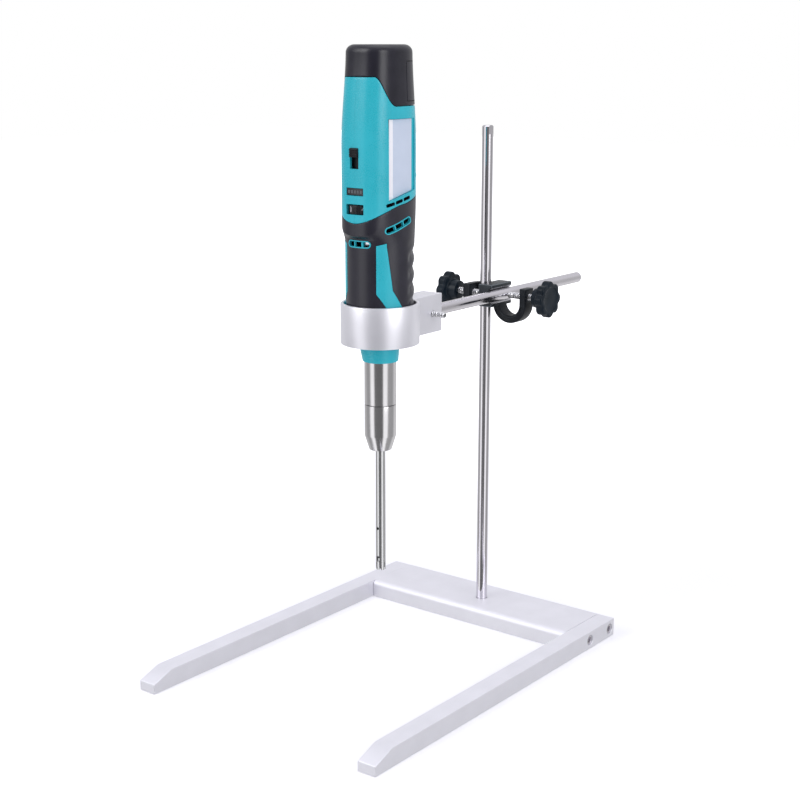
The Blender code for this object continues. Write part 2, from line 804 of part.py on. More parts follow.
def build_clamp_screws():
    steel = polished_steel()
    arm_tip = ARM_OFFSET + ROD_RADIUS + GAP
    arm_knob = arm_lug_outer() + ARM_KNOB_STAND_OFF
    column_tip = ROD_RADIUS + GAP
    column_knob = -column_lug_outer() + COLUMN_KNOB_STAND_OFF
    for name, tip, knob_start, y, turn, side in (
        ("arm_clamp", arm_tip, arm_knob, ARM_HOOK_Y, ALONG_X, 1),
        ("column_clamp", column_tip, column_knob, 0.0, AGAINST_X, -1),
    ):
        end = knob_start + KNOB_BORE_DEPTH - GAP
        profile = [
            (0.0, tip),
            (CLAMP_SCREW_RADIUS - 0.0006, tip),
            (CLAMP_SCREW_RADIUS, tip + 0.0006),
            (CLAMP_SCREW_RADIUS, end),
            (0.0, end),
        ]
        turned_object(name + "_screw", profile, steel, 20, (0.0, y, ARM_HEIGHT), turn)
        add_knob(name + "_knob", (side * knob_start, y, ARM_HEIGHT), turn)


def build_ring_holder():
    """Machined ring with a lip inside for the tool, and a block bored for the arm rod."""
    finish = satin_aluminium()
    centre = (ARM_OFFSET, -TOOL_DISTANCE, 0.0)
    profile = [
        (RING_LIP_RADIUS, RING_BOTTOM),
        (RING_OUTER - BLOCK_EDGE, RING_BOTTOM),
        (RING_OUTER, RING_BOTTOM + BLOCK_EDGE),
        (RING_OUTER, RING_TOP - BLOCK_EDGE),
        (RING_OUTER - BLOCK_EDGE, RING_TOP),
        (RING_OUTER - RING_WALL, RING_TOP),
        (RING_OUTER - RING_WALL, RING_BOTTOM + RING_LIP_HEIGHT),
        (RING_LIP_RADIUS, RING_BOTTOM + RING_LIP_HEIGHT),
    ]
    holder = turned_object("ring_holder", profile, finish, 52, centre)
    bm = bmesh.new()
    ring_back = -TOOL_DISTANCE + RING_OUTER - RING_WALL * 0.6
    add_box(
        bm,
        (ARM_OFFSET - BLOCK_WIDTH / 2, ring_back, RING_BOTTOM + BLOCK_EDGE),
        (ARM_OFFSET + BLOCK_WIDTH / 2, -BLOCK_END, RING_TOP - BLOCK_EDGE),
    )
    block = add_object("block_form", bm)
    add_bevel(block, BLOCK_EDGE)
    combine(holder, block, "UNION")
    bm = bmesh.new()
    near = -(BLOCK_END + ARM_SOCKET_DEPTH + GAP)
    start = (ARM_OFFSET, near, ARM_HEIGHT)
    end = (ARM_OFFSET, GAP - BLOCK_END, ARM_HEIGHT)
    add_cylinder(bm, ROD_RADIUS + RUN_GAP, start, end, 36)
    combine(holder, add_object("arm_socket_cut", bm), "DIFFERENCE")
    bm = bmesh.new()
    y = set_screw_y()
    add_cylinder(
        bm,
        SET_SCREW_RADIUS + GAP,
        (ARM_OFFSET + ROD_RADIUS / 2, y, ARM_HEIGHT),
        (ARM_OFFSET + BLOCK_WIDTH / 2 + GAP, y, ARM_HEIGHT),
        16,
    )
    combine(holder, add_object("set_screw_cut", bm), "DIFFERENCE")

    tip = ROD_RADIUS + GAP
    end = BLOCK_WIDTH / 2 + SET_SCREW_PROUD
    profile = [
        (0.0, tip),
        (SET_SCREW_RADIUS - 0.0004, tip),
        (SET_SCREW_RADIUS, tip + 0.0004),
        (SET_SCREW_RADIUS, end - 0.0003),
        (SET_SCREW_RADIUS - 0.0003, end),
        (SET_SCREW_SOCKET, end),
        (SET_SCREW_SOCKET, end - 0.003),
        (0.0, end - 0.003),
    ]
    turned_object(
        "ring_set_screw", profile, polished_steel(), 16, (ARM_OFFSET, y, ARM_HEIGHT), ALONG_X
    )


def set_screw_y():
    return -(BLOCK_END + SET_SCREW_SETBACK)


def cap_seam(angle):
    """Height of the joint between housing and battery, stepping down on each flank."""
    share = smooth_step((abs(angle) - CAP_STEP_START) / (CAP_STEP_END - CAP_STEP_START))
    return mix(CAP_SEAM_FRONT, CAP_SEAM_BACK, share)


def grip_seam(angle):
    """Height of the joint between grip and housing, rising towards the back."""
    return GRIP_SEAM_FRONT + GRIP_SEAM_RISE * math.sin(abs(angle) / 2) ** GRIP_SEAM_POWER


def signed_power(value, power):
    return math.copysign(abs(value) ** power, value)


def body_point(angle, height, offset):
    """Outer surface of the tool at an angle from its front, moved out by an offset."""
    crown = smooth_step((height - CROWN_START) / (TOP_HEIGHT - CROWN_START))
    width = mix(BELLY_WIDTH, CROWN_WIDTH, crown) + offset
    depth = mix(BELLY_DEPTH, CROWN_DEPTH, crown) + offset
    shift = mix(BELLY_SHIFT, 0.0, crown)
    power = 2.0 / SQUARENESS
    upper_x = width * signed_power(math.sin(angle), power)
    upper_y = -depth * signed_power(math.cos(angle), power) - shift
    front = ((1.0 + math.cos(angle)) / 2) ** 2
    low = mix(BACK_STEP_LOW, FRONT_STEP_LOW, front)
    high = mix(BACK_STEP_HIGH, FRONT_STEP_HIGH, front)
    blend = smooth_step((height - low) / (high - low))
    radius = GRIP_RADIUS + offset
    return (
        mix(radius * math.sin(angle), upper_x, blend),
        mix(-radius * math.cos(angle), upper_y, blend),
    )


def ridge_depth(angle, height):
    """How far a finger ridge's valley is sunk into the back of the grip."""
    if not RIDGE_LOW < height < RIDGE_HIGH:
        return 0.0
    side = smooth_step((abs(angle) - RIDGE_START) / (RIDGE_FULL - RIDGE_START))
    rise = RIDGE_SLOPE * GRIP_RADIUS * (abs(angle) - RIDGE_LEVEL_ANGLE)
    phase = (height - rise - RIDGE_CREST) / RIDGE_PITCH
    ends = smooth_step((height - RIDGE_LOW) / RIDGE_PITCH) * smooth_step((RIDGE_HIGH - height) / RIDGE_PITCH)
    return RIDGE_DEPTH * side * ends * (0.5 - 0.5 * math.cos(math.tau * phase))


def column_angles():
    """Angles round the tool from the back, so the parting plane falls on columns."""
    return [-math.pi + math.tau * index / COLUMNS for index in range(COLUMNS)]


def add_loft(bm, rings):
    """Skin a closed stack of rings; the last ring joins the first when they bound a wall."""
    made = [[bm.verts.new(point) for point in ring] for ring in rings]
    count = len(made[0])
    for lower, upper in zip(made, made[1:]):
        for index in range(count):
            other = (index + 1) % count
            bm.faces.new((lower[index], lower[other], upper[other], upper[index]))
    return made


def close_loft(bm, made):
    bm.faces.new(made[-1])
    bm.faces.new(list(reversed(made[0])))


def wall_ring(angles, height_of, offset, limit=None, ridged=False):
    ring = []
    for angle in angles:
        height = height_of(angle)
        inward = ridge_depth(angle, height) if ridged else 0.0
        x, y = body_point(angle, height, offset - inward)
        if limit is not None:
            x = min(max(x, -limit), limit)
        ring.append((x, y, height))
    return ring


def level(height):
    return lambda angle: height


def between(low_of, high_of, share):
    return lambda angle: mix(low_of(angle), high_of(angle), share)


def shell_wall(outer_rings, inner_rings):
    """Closed wall: up the outside, over the rim, down the inside and back."""
    bm = bmesh.new()
    made = add_loft(bm, outer_rings + list(reversed(inner_rings)))
    count = len(made[0])
    first = made[0]
    last = made[-1]
    for index in range(count):
        other = (index + 1) % count
        bm.faces.new((last[index], last[other], first[other], first[index]))
    return bm


def band_form(name, low, high, outer, inner, rows, parent):
    """Closed curved band of the tool's skin, used to shape inlays and their seats."""
    angles = column_angles()
    outside = [wall_ring(angles, level(mix(low, high, row / rows)), outer) for row in range(rows + 1)]
    inside = [wall_ring(angles, level(mix(low, high, row / rows)), inner) for row in range(rows + 1)]
    return add_object(name, shell_wall(outside, inside), None, parent=parent)


def side_prism(name, outline, side, parent, depth=(0.010, 0.040)):
    """Prism along X over an outline given as (y, height) points."""
    bm = bmesh.new()
    start = side * depth[0]
    length = side * (depth[1] - depth[0])
    frame = Matrix.Translation((start, 0.0, 0.0)) @ Matrix(
        ((0.0, 0.0, 1.0), (1.0, 0.0, 0.0), (0.0, 1.0, 0.0))
    ).to_4x4()
    add_prism(bm, outline, length, frame)
    return add_object(name, bm, None, parent=parent)


def front_prism(name, outline, parent, depth=(0.018, 0.040)):
    """Prism along -Y over an outline given as (x, height) points."""
    bm = bmesh.new()
    frame = Matrix.Translation((0.0, -depth[0], 0.0)) @ Matrix(
        ((1.0, 0.0, 0.0), (0.0, 0.0, -1.0), (0.0, 1.0, 0.0))
    ).to_4x4()
    add_prism(bm, outline, depth[1] - depth[0], frame)
    return add_object(name, bm, None, parent=parent)


def stadium(length, height, centre, tilt=0.0, facets=6):
    """Slot outline with round ends, turned about its centre."""
    radius = height / 2
    reach = length / 2 - radius
    points = []
    for end, first in ((1, -math.pi / 2), (-1, math.pi / 2)):
        for step in range(facets + 1):
            angle = first + math.pi * step / facets
            x = end * reach + radius * math.cos(angle)
            y = radius * math.sin(angle)
            points.append(
                (
                    centre[0] + x * math.cos(tilt) - y * math.sin(tilt),
                    centre[1] + x * math.sin(tilt) + y * math.cos(tilt),
                )
            )
    return points


def slot_row(length, height, centre, tilt, count=3):
    """Outlines of a row of slots that share a stadium."""
    pitch = length / count
    slots = []
    for index in range(count):
        along = (index - (count - 1) / 2) * pitch
        half = pitch / 2 - VENT_SLOT_GAP / 2
        corners = []
        for u, v in ((-half, -height / 2), (half, -height / 2), (half, height / 2), (-half, height / 2)):
            x = along + u
            corners.append(
                (
                    centre[0] + x * math.cos(tilt) - v * math.sin(tilt),
                    centre[1] + x * math.sin(tilt) + v * math.cos(tilt),
                )
            )
        slots.append(corners)
    return slots


def strip_outline(grow=0.0):
    """Accent strip on a flank: tall tapered bar whose foot kicks towards the back."""
    front = STRIP_FRONT - grow
    foot = SHOULDER_HEIGHT + STRIP_FOOT_RISE
    return [
        (front, STRIP_TOP + grow * 0.6),
        (front, STRIP_BEND),
        (front + STRIP_FOOT_SHIFT, foot - grow),
        (front + STRIP_FOOT_SHIFT + STRIP_FOOT_WIDTH + 2 * grow, foot - grow),
        (front + STRIP_BEND_WIDTH + 2 * grow, STRIP_BEND + STRIP_BEND_RISE),
        (front + STRIP_TOP_WIDTH + 2 * grow, STRIP_TOP + STRIP_TOP_RISE + grow),
    ]


def recess_outline(inset=0.0):
    return [
        (-RECESS_HALF + inset, RECESS_BOTTOM_FRONT + inset),
        (RECESS_HALF - inset, RECESS_BOTTOM_BACK + inset),
        (RECESS_HALF - inset, RECESS_TOP - inset),
        (-RECESS_HALF + inset, RECESS_TOP - inset),
    ]


def half_space(name, side, parent):
    """Box that keeps one side of the parting plane."""
    bm = bmesh.new()
    reach = 0.06
    low = (GAP / 2, -reach, -reach) if side > 0 else (-reach, -reach, -reach)
    high = (reach, reach, TOP_HEIGHT + reach) if side > 0 else (-GAP / 2, reach, TOP_HEIGHT + reach)
    add_box(bm, low, high)
    return add_object(name, bm, None, parent=parent)


def screw_bosses(name, spots, radius, reach, parent):
    """Round bosses, or their holes, running along X inside the housing."""
    bm = bmesh.new()
    for (y, height), (start, end) in zip(spots, reach):
        add_cylinder(bm, radius, (start, y, height), (end, y, height), 12)
    return add_object(name, bm, None, parent=parent)


def flank_x(y, height, offset=0.0):
    """Half width of the tool's outer surface at a given depth."""
    best = 0.0
    steps = 180
    for step in range(steps):
        angle = math.pi * step / steps
        x, at = body_point(angle, height, offset)
        if abs(at - y) < 0.0012:
            best = max(best, x)
    return best


def boss_reach(y, height):
    """Length of a screw boss from the parting plane, kept inside the outer skin."""
    return flank_x(math.copysign(abs(y) + SCREW_BOSS_RADIUS, y), height) - GAP


def screw_seat_depth(y, height):
    """Distance from the parting plane to the seat under a housing screw's head."""
    return boss_reach(y, height) - HOUSING_SCREW_HEAD_TALL - GAP


def build_housing(tool):
    """Teal upper housing in two halves, with windows, vents and a label recess."""
    angles = column_angles()
    low = lambda angle: grip_seam(angle) + GAP / 2
    high = lambda angle: cap_seam(angle) - CAP_SEAM_GAP / 2
    rows = 12
    outside = [wall_ring(angles, between(low, high, row / rows), 0.0) for row in range(rows + 1)]
    inside = [wall_ring(angles, between(low, high, row / 4), -WALL, INNER_FLAT) for row in range(5)]
    full = add_object("housing_form", shell_wall(outside, inside), None, parent=tool)

    cutters = []
    for side, tag in ((1, "right"), (-1, "left")):
        span = (RECESS_PLANE, 2 * RECESS_PLANE)
        cutters.append(side_prism("recess_cut_" + tag, recess_outline(), side, tool, span))
        for number, slot in enumerate(
            slot_row(UPPER_SLOT_LENGTH, UPPER_SLOT_HEIGHT, (UPPER_SLOT_Y, UPPER_SLOT_LEVEL), UPPER_SLOT_TILT)
        ):
            cutters.append(side_prism("upper_slot_cut_%s_%d" % (tag, number), slot, side, tool))
    cutters.append(
        front_prism(
            "switch_slot_cut",
            rectangle(0.0, (SWITCH_SLOT_LOW + SWITCH_SLOT_HIGH) / 2, SWITCH_SLOT_WIDTH,
                      SWITCH_SLOT_HIGH - SWITCH_SLOT_LOW),
            tool,
        )
    )
    cutters.append(
        front_prism("gauge_cut", rectangle(0.0, GAUGE_LEVEL, GAUGE_WIDTH, GAUGE_HEIGHT), tool)
    )
    cutters.append(
        front_prism("dial_cut", rectangle(0.0, DIAL_LEVEL, DIAL_WINDOW_WIDTH, DIAL_WINDOW_HEIGHT), tool)
    )
    split_shell(full, cutters, "housing", teal_plastic(), tool, HOUSING_SCREW_SPOTS)


def rectangle(x, height, width, tall):
    return [
        (x - width / 2, height - tall / 2),
        (x + width / 2, height - tall / 2),
        (x + width / 2, height + tall / 2),
        (x - width / 2, height + tall / 2),
    ]


def split_shell(full, cutters, name, finish, tool, screw_spots):
    """Cut one closed shell along the tool's middle plane and give each half its screw bosses."""
    full.hide_render = True
    full.display_type = "WIRE"
    for side, tag in ((1, "right"), (-1, "left")):
        half = bpy.data.objects.new("%s_%s" % (name, tag), full.data.copy())
        half.data.materials.append(finish)
        half.parent = tool
        bpy.context.scene.collection.objects.link(half)
        reach = [(side * GAP, side * boss_reach(y, height)) for y, height in screw_spots]
        boss = screw_bosses("%s_boss_%s" % (name, tag), screw_spots, SCREW_BOSS_RADIUS, reach, tool)
        combine(half, boss, "UNION")
        for cutter in cutters:
            combine(half, cutter, "DIFFERENCE")
        combine(half, half_space("%s_side_%s" % (name, tag), side, tool), "INTERSECT")
        if side < 0:
            depths = [screw_seat_depth(y, height) for y, height in screw_spots]
            clear = HOUSING_SCREW_HEAD + GAP
            reach = [(GAP - depth, -GRIP_RADIUS * 2) for depth in depths]
            sink = screw_bosses(name + "_head_cut", screw_spots, clear, reach, tool)
            combine(half, sink, "DIFFERENCE")
            reach = [(GAP, -depth - GAP) for depth in depths]
        else:
            reach = [(-GAP, SCREW_BITE + GAP) for spot in screw_spots]
        shank_name = "%s_shank_cut_%s" % (name, tag)
        shank = screw_bosses(shank_name, screw_spots, HOUSING_SCREW_RADIUS + GAP, reach, tool)
        combine(half, shank, "DIFFERENCE")


def build_grip(tool):
    """Charcoal grip in two halves with finger ridges, inlay seats and the seating shoulder."""
    angles = column_angles()
    high = lambda angle: grip_seam(angle) - GAP / 2
    heights = [0.0, RIDGE_LOW]
    heights += [mix(RIDGE_LOW, RIDGE_HIGH, row / RIDGE_ROWS) for row in range(1, RIDGE_ROWS + 1)]
    heights += [mix(FRONT_STEP_LOW, FRONT_STEP_HIGH, row / 3) for row in (1, 2, 3)]
    outside = [wall_ring(angles, level(height), 0.0, None, True) for height in heights]
    base = level(heights[-1] + 0.001)
    outside += [wall_ring(angles, between(base, high, row / 3), 0.0) for row in range(4)]
    inner_base = level(SHOULDER_HEIGHT)
    inside = [wall_ring(angles, between(inner_base, high, row / 4), -WALL, INNER_LIMIT) for row in range(5)]
    hole = [
        [(SHOULDER_HOLE * math.sin(angle), -SHOULDER_HOLE * math.cos(angle), height) for angle in angles]
        for height in (0.0, SHOULDER_HEIGHT)
    ]
    full = add_object("grip_form", shell_wall(outside, hole + inside), None, parent=tool)
    cutters = []
    seat_low = SHOULDER_HEIGHT
    band = band_form("strip_seat_band", seat_low, STRIP_TOP + 0.01, 0.004, -INLAY_DEPTH - GAP, 8, tool)
    for side, tag in ((1, "right"), (-1, "left")):
        seat = side_prism("strip_seat_" + tag, strip_outline(GAP), side, tool)
        combine(seat, band, "INTERSECT")
        cutters.append(seat)
        outline = stadium(
            SIDE_VENT_LENGTH + 2 * GAP,
            SIDE_VENT_HEIGHT + 2 * GAP,
            (SIDE_VENT_Y, SIDE_VENT_LEVEL),
            SIDE_VENT_TILT,
        )
        cutters.append(side_prism("side_vent_seat_" + tag, outline, side, tool))
    outline = stadium(FRONT_VENT_WIDTH + 2 * GAP, FRONT_VENT_HEIGHT + 2 * GAP, (0.0, FRONT_VENT_LEVEL))
    cutters.append(front_prism("front_vent_seat", outline, tool))
    split_shell(full, cutters, "grip", charcoal_grip(), tool, GRIP_SCREW_SPOTS)


def build_inlays(tool):
    """Teal vent frames and accent strips let into the grip."""
    finish = teal_plastic()
    strip_band = band_form(
        "strip_band", SHOULDER_HEIGHT, STRIP_TOP + 0.01, INLAY_PROUD, -INLAY_DEPTH, 8, tool
    )
    vent_band = band_form(
        "vent_band", FRONT_VENT_LEVEL - 0.006, SIDE_VENT_LEVEL + 0.012, INLAY_PROUD, -WALL, 8, tool
    )
    for side, tag in ((1, "right"), (-1, "left")):
        strip = side_prism("accent_strip_" + tag, strip_outline(), side, tool)
        strip.data.materials.append(finish)
        combine(strip, strip_band, "INTERSECT")
        centre = (SIDE_VENT_Y, SIDE_VENT_LEVEL)
        outline = stadium(SIDE_VENT_LENGTH, SIDE_VENT_HEIGHT, centre, SIDE_VENT_TILT)
        frame = side_prism("side_vent_" + tag, outline, side, tool)
        frame.data.materials.append(finish)
        combine(frame, vent_band, "INTERSECT")
        slots = slot_row(
            SIDE_VENT_LENGTH - SIDE_VENT_HEIGHT, SIDE_VENT_HEIGHT - 2 * VENT_RIM, centre, SIDE_VENT_TILT
        )
        for number, slot in enumerate(slots):
            combine(frame, side_prism("side_slot_cut_%s_%d" % (tag, number), slot, side, tool), "DIFFERENCE")
    centre = (0.0, FRONT_VENT_LEVEL)
    frame = front_prism("front_vent", stadium(FRONT_VENT_WIDTH, FRONT_VENT_HEIGHT, centre), tool)
    frame.data.materials.append(finish)
    combine(frame, vent_band, "INTERSECT")
    slots = slot_row(FRONT_VENT_WIDTH - FRONT_VENT_HEIGHT, FRONT_VENT_HEIGHT - 2 * VENT_RIM, centre, 0.0)
    for number, slot in enumerate(slots):
        combine(frame, front_prism("front_slot_cut_%d" % number, slot, tool), "DIFFERENCE")


def build_label_plate(tool):
    start = RECESS_PLANE + GAP
    plate = side_prism("label_plate", recess_outline(GAP), 1, tool, (start, start + PLATE_THICK))
    plate.data.materials.append(label_plastic())


def build_housing_screws(tool):
    """Screws that draw the two halves together, driven from the left flank."""
    steel = polished_steel()
    for number, (y, height) in enumerate(GRIP_SCREW_SPOTS + HOUSING_SCREW_SPOTS):
        depth = screw_seat_depth(y, height)
        profile = [
            (0.0, -SCREW_BITE),
            (HOUSING_SCREW_RADIUS, -SCREW_BITE),
            (HOUSING_SCREW_RADIUS, depth),
            (HOUSING_SCREW_HEAD, depth),
            (HOUSING_SCREW_HEAD, depth + HOUSING_SCREW_HEAD_TALL),
            (0.0, depth + HOUSING_SCREW_HEAD_TALL),
        ]
        name = "housing_screw_%d" % (number + 1)
        turned_object(name, profile, steel, 12, (0.0, y, height), AGAINST_X, tool)


def front_y(height):
    """Depth of the tool's front surface on the middle plane."""
    return body_point(0.0, height, 0.0)[1]


def build_controls(tool):
    dark = dark_plastic()
    slot_middle = (SWITCH_SLOT_LOW + SWITCH_SLOT_HIGH) / 2
    half = SWITCH_BODY_WIDTH / 2
    bm = bmesh.new()
    add_box(
        bm,
        (-half, -SWITCH_BODY_FACE, SWITCH_SLOT_LOW - 0.003),
        (half, -SWITCH_BODY_FACE + SWITCH_BODY_DEPTH, SWITCH_SLOT_HIGH + 0.0024),
    )
    add_object("switch_body", bm, dark, parent=tool)

    slider_half = SWITCH_SLOT_WIDTH / 2 - RUN_GAP
    slider_top = SWITCH_SLOT_HIGH - RUN_GAP
    slider_low = slider_top - SLIDER_HEIGHT
    face = front_y(slot_middle) - SLIDER_PROUD
    place = (0.0, 0.0, slider_low)
    bm = bmesh.new()
    add_box(bm, (-slider_half, face, 0.0), (slider_half, -SWITCH_BODY_FACE - RUN_GAP, SLIDER_HEIGHT))
    slider = add_object("switch_slider", bm, dark, place, parent=tool)
    add_bevel(slider, 0.0005)

    bm = bmesh.new()
    add_box(
        bm,
        (-BOARD_WIDTH / 2, -BOARD_FACE, BOARD_LOW),
        (BOARD_WIDTH / 2, -BOARD_FACE + BOARD_THICK, BOARD_HIGH),
    )
    add_object("control_board", bm, board_green(), parent=tool)

    bm = bmesh.new()
    lens = front_y(GAUGE_LEVEL) + 0.0006
    add_box(
        bm,
        (-GAUGE_WIDTH / 2 + GAP, lens, GAUGE_LEVEL - GAUGE_HEIGHT / 2 + GAP),
        (GAUGE_WIDTH / 2 - GAP, -BOARD_FACE - GAP, GAUGE_LEVEL + GAUGE_HEIGHT / 2 - GAP),
    )
    add_object("battery_gauge", bm, dark, parent=tool)

    centre_y = front_y(DIAL_LEVEL) - DIAL_PROUD + DIAL_RADIUS
    wheel_low = DIAL_LEVEL - DIAL_THICK / 2
    bm = bmesh.new()
    rim = []
    for index in range(DIAL_RIBS * 2):
        angle = math.tau * index / (DIAL_RIBS * 2)
        radius = DIAL_RADIUS - (0.0005 if index % 2 else 0.0)
        rim.append((radius * math.cos(angle), radius * math.sin(angle)))
    add_prism(bm, rim, DIAL_THICK, Matrix.Translation((0.0, 0.0, -DIAL_THICK / 2)))
    dial = add_object("speed_dial", bm, dark, (0.0, centre_y, DIAL_LEVEL), parent=tool)
    bm = bmesh.new()
    add_cylinder(bm, DIAL_SHAFT_RADIUS, (0.0, 0.0, -DIAL_THICK / 2 - 0.004), (0.0, 0.0, 0.0), 12)
    shaft = add_object("dial_shaft_form", bm, None, (0.0, centre_y, DIAL_LEVEL), parent=tool)
    combine(dial, shaft, "UNION")

    bm = bmesh.new()
    body_half = 0.006
    body_top = wheel_low - RUN_GAP
    add_box(
        bm,
        (-body_half, centre_y - body_half * 0.7, body_top - 0.006),
        (body_half, -BOARD_FACE - GAP, body_top),
    )
    body = add_object("speed_potentiometer", bm, dark, parent=tool)
    bm = bmesh.new()
    add_cylinder(
        bm,
        DIAL_SHAFT_RADIUS + RUN_GAP,
        (0.0, centre_y, body_top - 0.0045),
        (0.0, centre_y, body_top + 0.001),
        12,
    )
    combine(body, add_object("potentiometer_bore_cut", bm, parent=tool), "DIFFERENCE")


def stem_ring(inset, height):
    """Rounded box section of the battery stem."""
    ring = []
    width = STEM_WIDTH - inset
    depth = STEM_DEPTH - inset
    corner = STEM_CORNER - inset
    for angle in column_angles():
        direction = Vector((math.sin(angle), -math.cos(angle)))
        x = math.copysign(width - corner, direction.x) if abs(direction.x) > 1e-9 else 0.0
        y = math.copysign(depth - corner, direction.y) if abs(direction.y) > 1e-9 else 0.0
        power = 0.85
        x = width * signed_power(direction.x, power) if abs(x) < 1e-9 else x + corner * direction.x
        y = depth * signed_power(direction.y, power) if abs(y) < 1e-9 else y + corner * direction.y
        ring.append((x, y, height))
    return ring


def build_battery(tool):
    """Cap with a rounded crown whose rim follows the stepped seam, over a stem of three cells."""
    pack = add_empty("battery_pack_frame", (0.0, 0.0, 0.0), tool)
    dark = dark_plastic()
    angles = column_angles()
    low = lambda angle: cap_seam(angle) + CAP_SEAM_GAP / 2
    rim = level(TOP_HEIGHT - CAP_EDGE_RADIUS)
    outside = [wall_ring(angles, between(low, rim, row / 5), 0.0) for row in range(6)]
    for step in (1, 2, 3, 4):
        angle = math.pi / 2 * step / 4
        inset = CAP_EDGE_RADIUS * (1.0 - math.cos(angle))
        height = TOP_HEIGHT - CAP_EDGE_RADIUS * (1.0 - math.sin(angle))
        outside.append(wall_ring(angles, level(height), -inset))
    seat = [
        [(x, y, low(angle)) for angle, (x, y, z) in zip(angles, stem_ring(0.0, 0.0))],
    ]
    seat.append(wall_ring(angles, low, -WALL, INNER_FLAT))
    rings = [stem_ring(0.0, STEM_LOW)] + seat + outside
    bm = bmesh.new()
    close_loft(bm, add_loft(bm, rings))
    shell = add_object("battery_shell", bm, dark, parent=pack)

    bm = bmesh.new()
    cavity_low = STEM_LOW + CELL_FLOOR
    cavity_top = cavity_low + CELL_LENGTH + 2 * GAP
    close_loft(bm, add_loft(bm, [stem_ring(STEM_WALL, cavity_low), stem_ring(STEM_WALL, cavity_top)]))
    combine(shell, add_object("cell_cavity_cut", bm, parent=pack), "DIFFERENCE")
    bm = bmesh.new()
    for x in (-CONTACT_SPACING, 0.0, CONTACT_SPACING):
        half = CONTACT_WIDTH / 2 + GAP
        low_corner = (x - half, -CONTACT_SLOT_REACH, STEM_LOW - GAP)
        add_box(bm, low_corner, (x + half, CONTACT_SLOT_REACH, cavity_low + GAP))
    combine(shell, add_object("contact_slot_cut", bm, parent=pack), "DIFFERENCE")

    spread = CELL_RADIUS + GAP / 2
    lean = spread * math.sqrt(3.0) / 2
    base = cavity_low + GAP
    for number, (x, y) in enumerate(((-lean, -spread), (-lean, spread), (lean, 0.0))):
        bm = bmesh.new()
        add_cylinder(bm, CELL_RADIUS - GAP / 4, (x, y, base), (x, y, base + CELL_LENGTH), 20)
        add_object("battery_cell_%d" % (number + 1), bm, cell_wrap(), parent=pack)

    latch_angles = [mix(LATCH_ANGLE_FROM, LATCH_ANGLE_TO, step / 8) for step in range(9)]
    for side, tag in ((1, "right"), (-1, "left")):
        for suffix, grow, outer in (("_pocket", GAP, 0.004), ("", 0.0, 0.0)):
            bm = bmesh.new()
            margin = grow / GRIP_RADIUS
            spans = list(latch_angles)
            spans[0] -= margin
            spans[-1] += margin
            stacks = []
            for row in range(7):
                height = mix(LATCH_LOW - grow, LATCH_HIGH + grow, row / 6)
                inner = -LATCH_DEPTH - LATCH_TRAVEL * (grow > 0)
                near = [body_point(side * angle, height, outer) for angle in spans]
                deep = [body_point(side * angle, height, inner) for angle in spans]
                stacks.append([(x, y, height) for x, y in near + deep[::-1]])
            close_loft(bm, add_loft(bm, stacks))
            if suffix:
                pocket = add_object("latch%s_%s" % (suffix, tag), bm, None, parent=pack)
                combine(shell, pocket, "DIFFERENCE")
            else:
                add_object("latch_button_" + tag, bm, dark, parent=pack)

    bm = bmesh.new()
    foot = STEM_LOW - CONTACT_HEIGHT
    wide, deep = CONTACT_BLOCK_HALF
    add_box(bm, (-wide, -deep, foot), (wide, deep, STEM_LOW - GAP))
    block = add_object("contact_block", bm, dark, parent=tool)
    for number, x in enumerate((-CONTACT_SPACING, 0.0, CONTACT_SPACING)):
        bm = bmesh.new()
        half = CONTACT_WIDTH / 2
        low_corner = (x - half, -CONTACT_BLADE_REACH, foot + GAP)
        add_box(bm, low_corner, (x + half, CONTACT_BLADE_REACH, STEM_LOW + CELL_FLOOR / 2))
        combine(block, add_object("contact_blade_%d" % number, bm, parent=tool), "UNION")


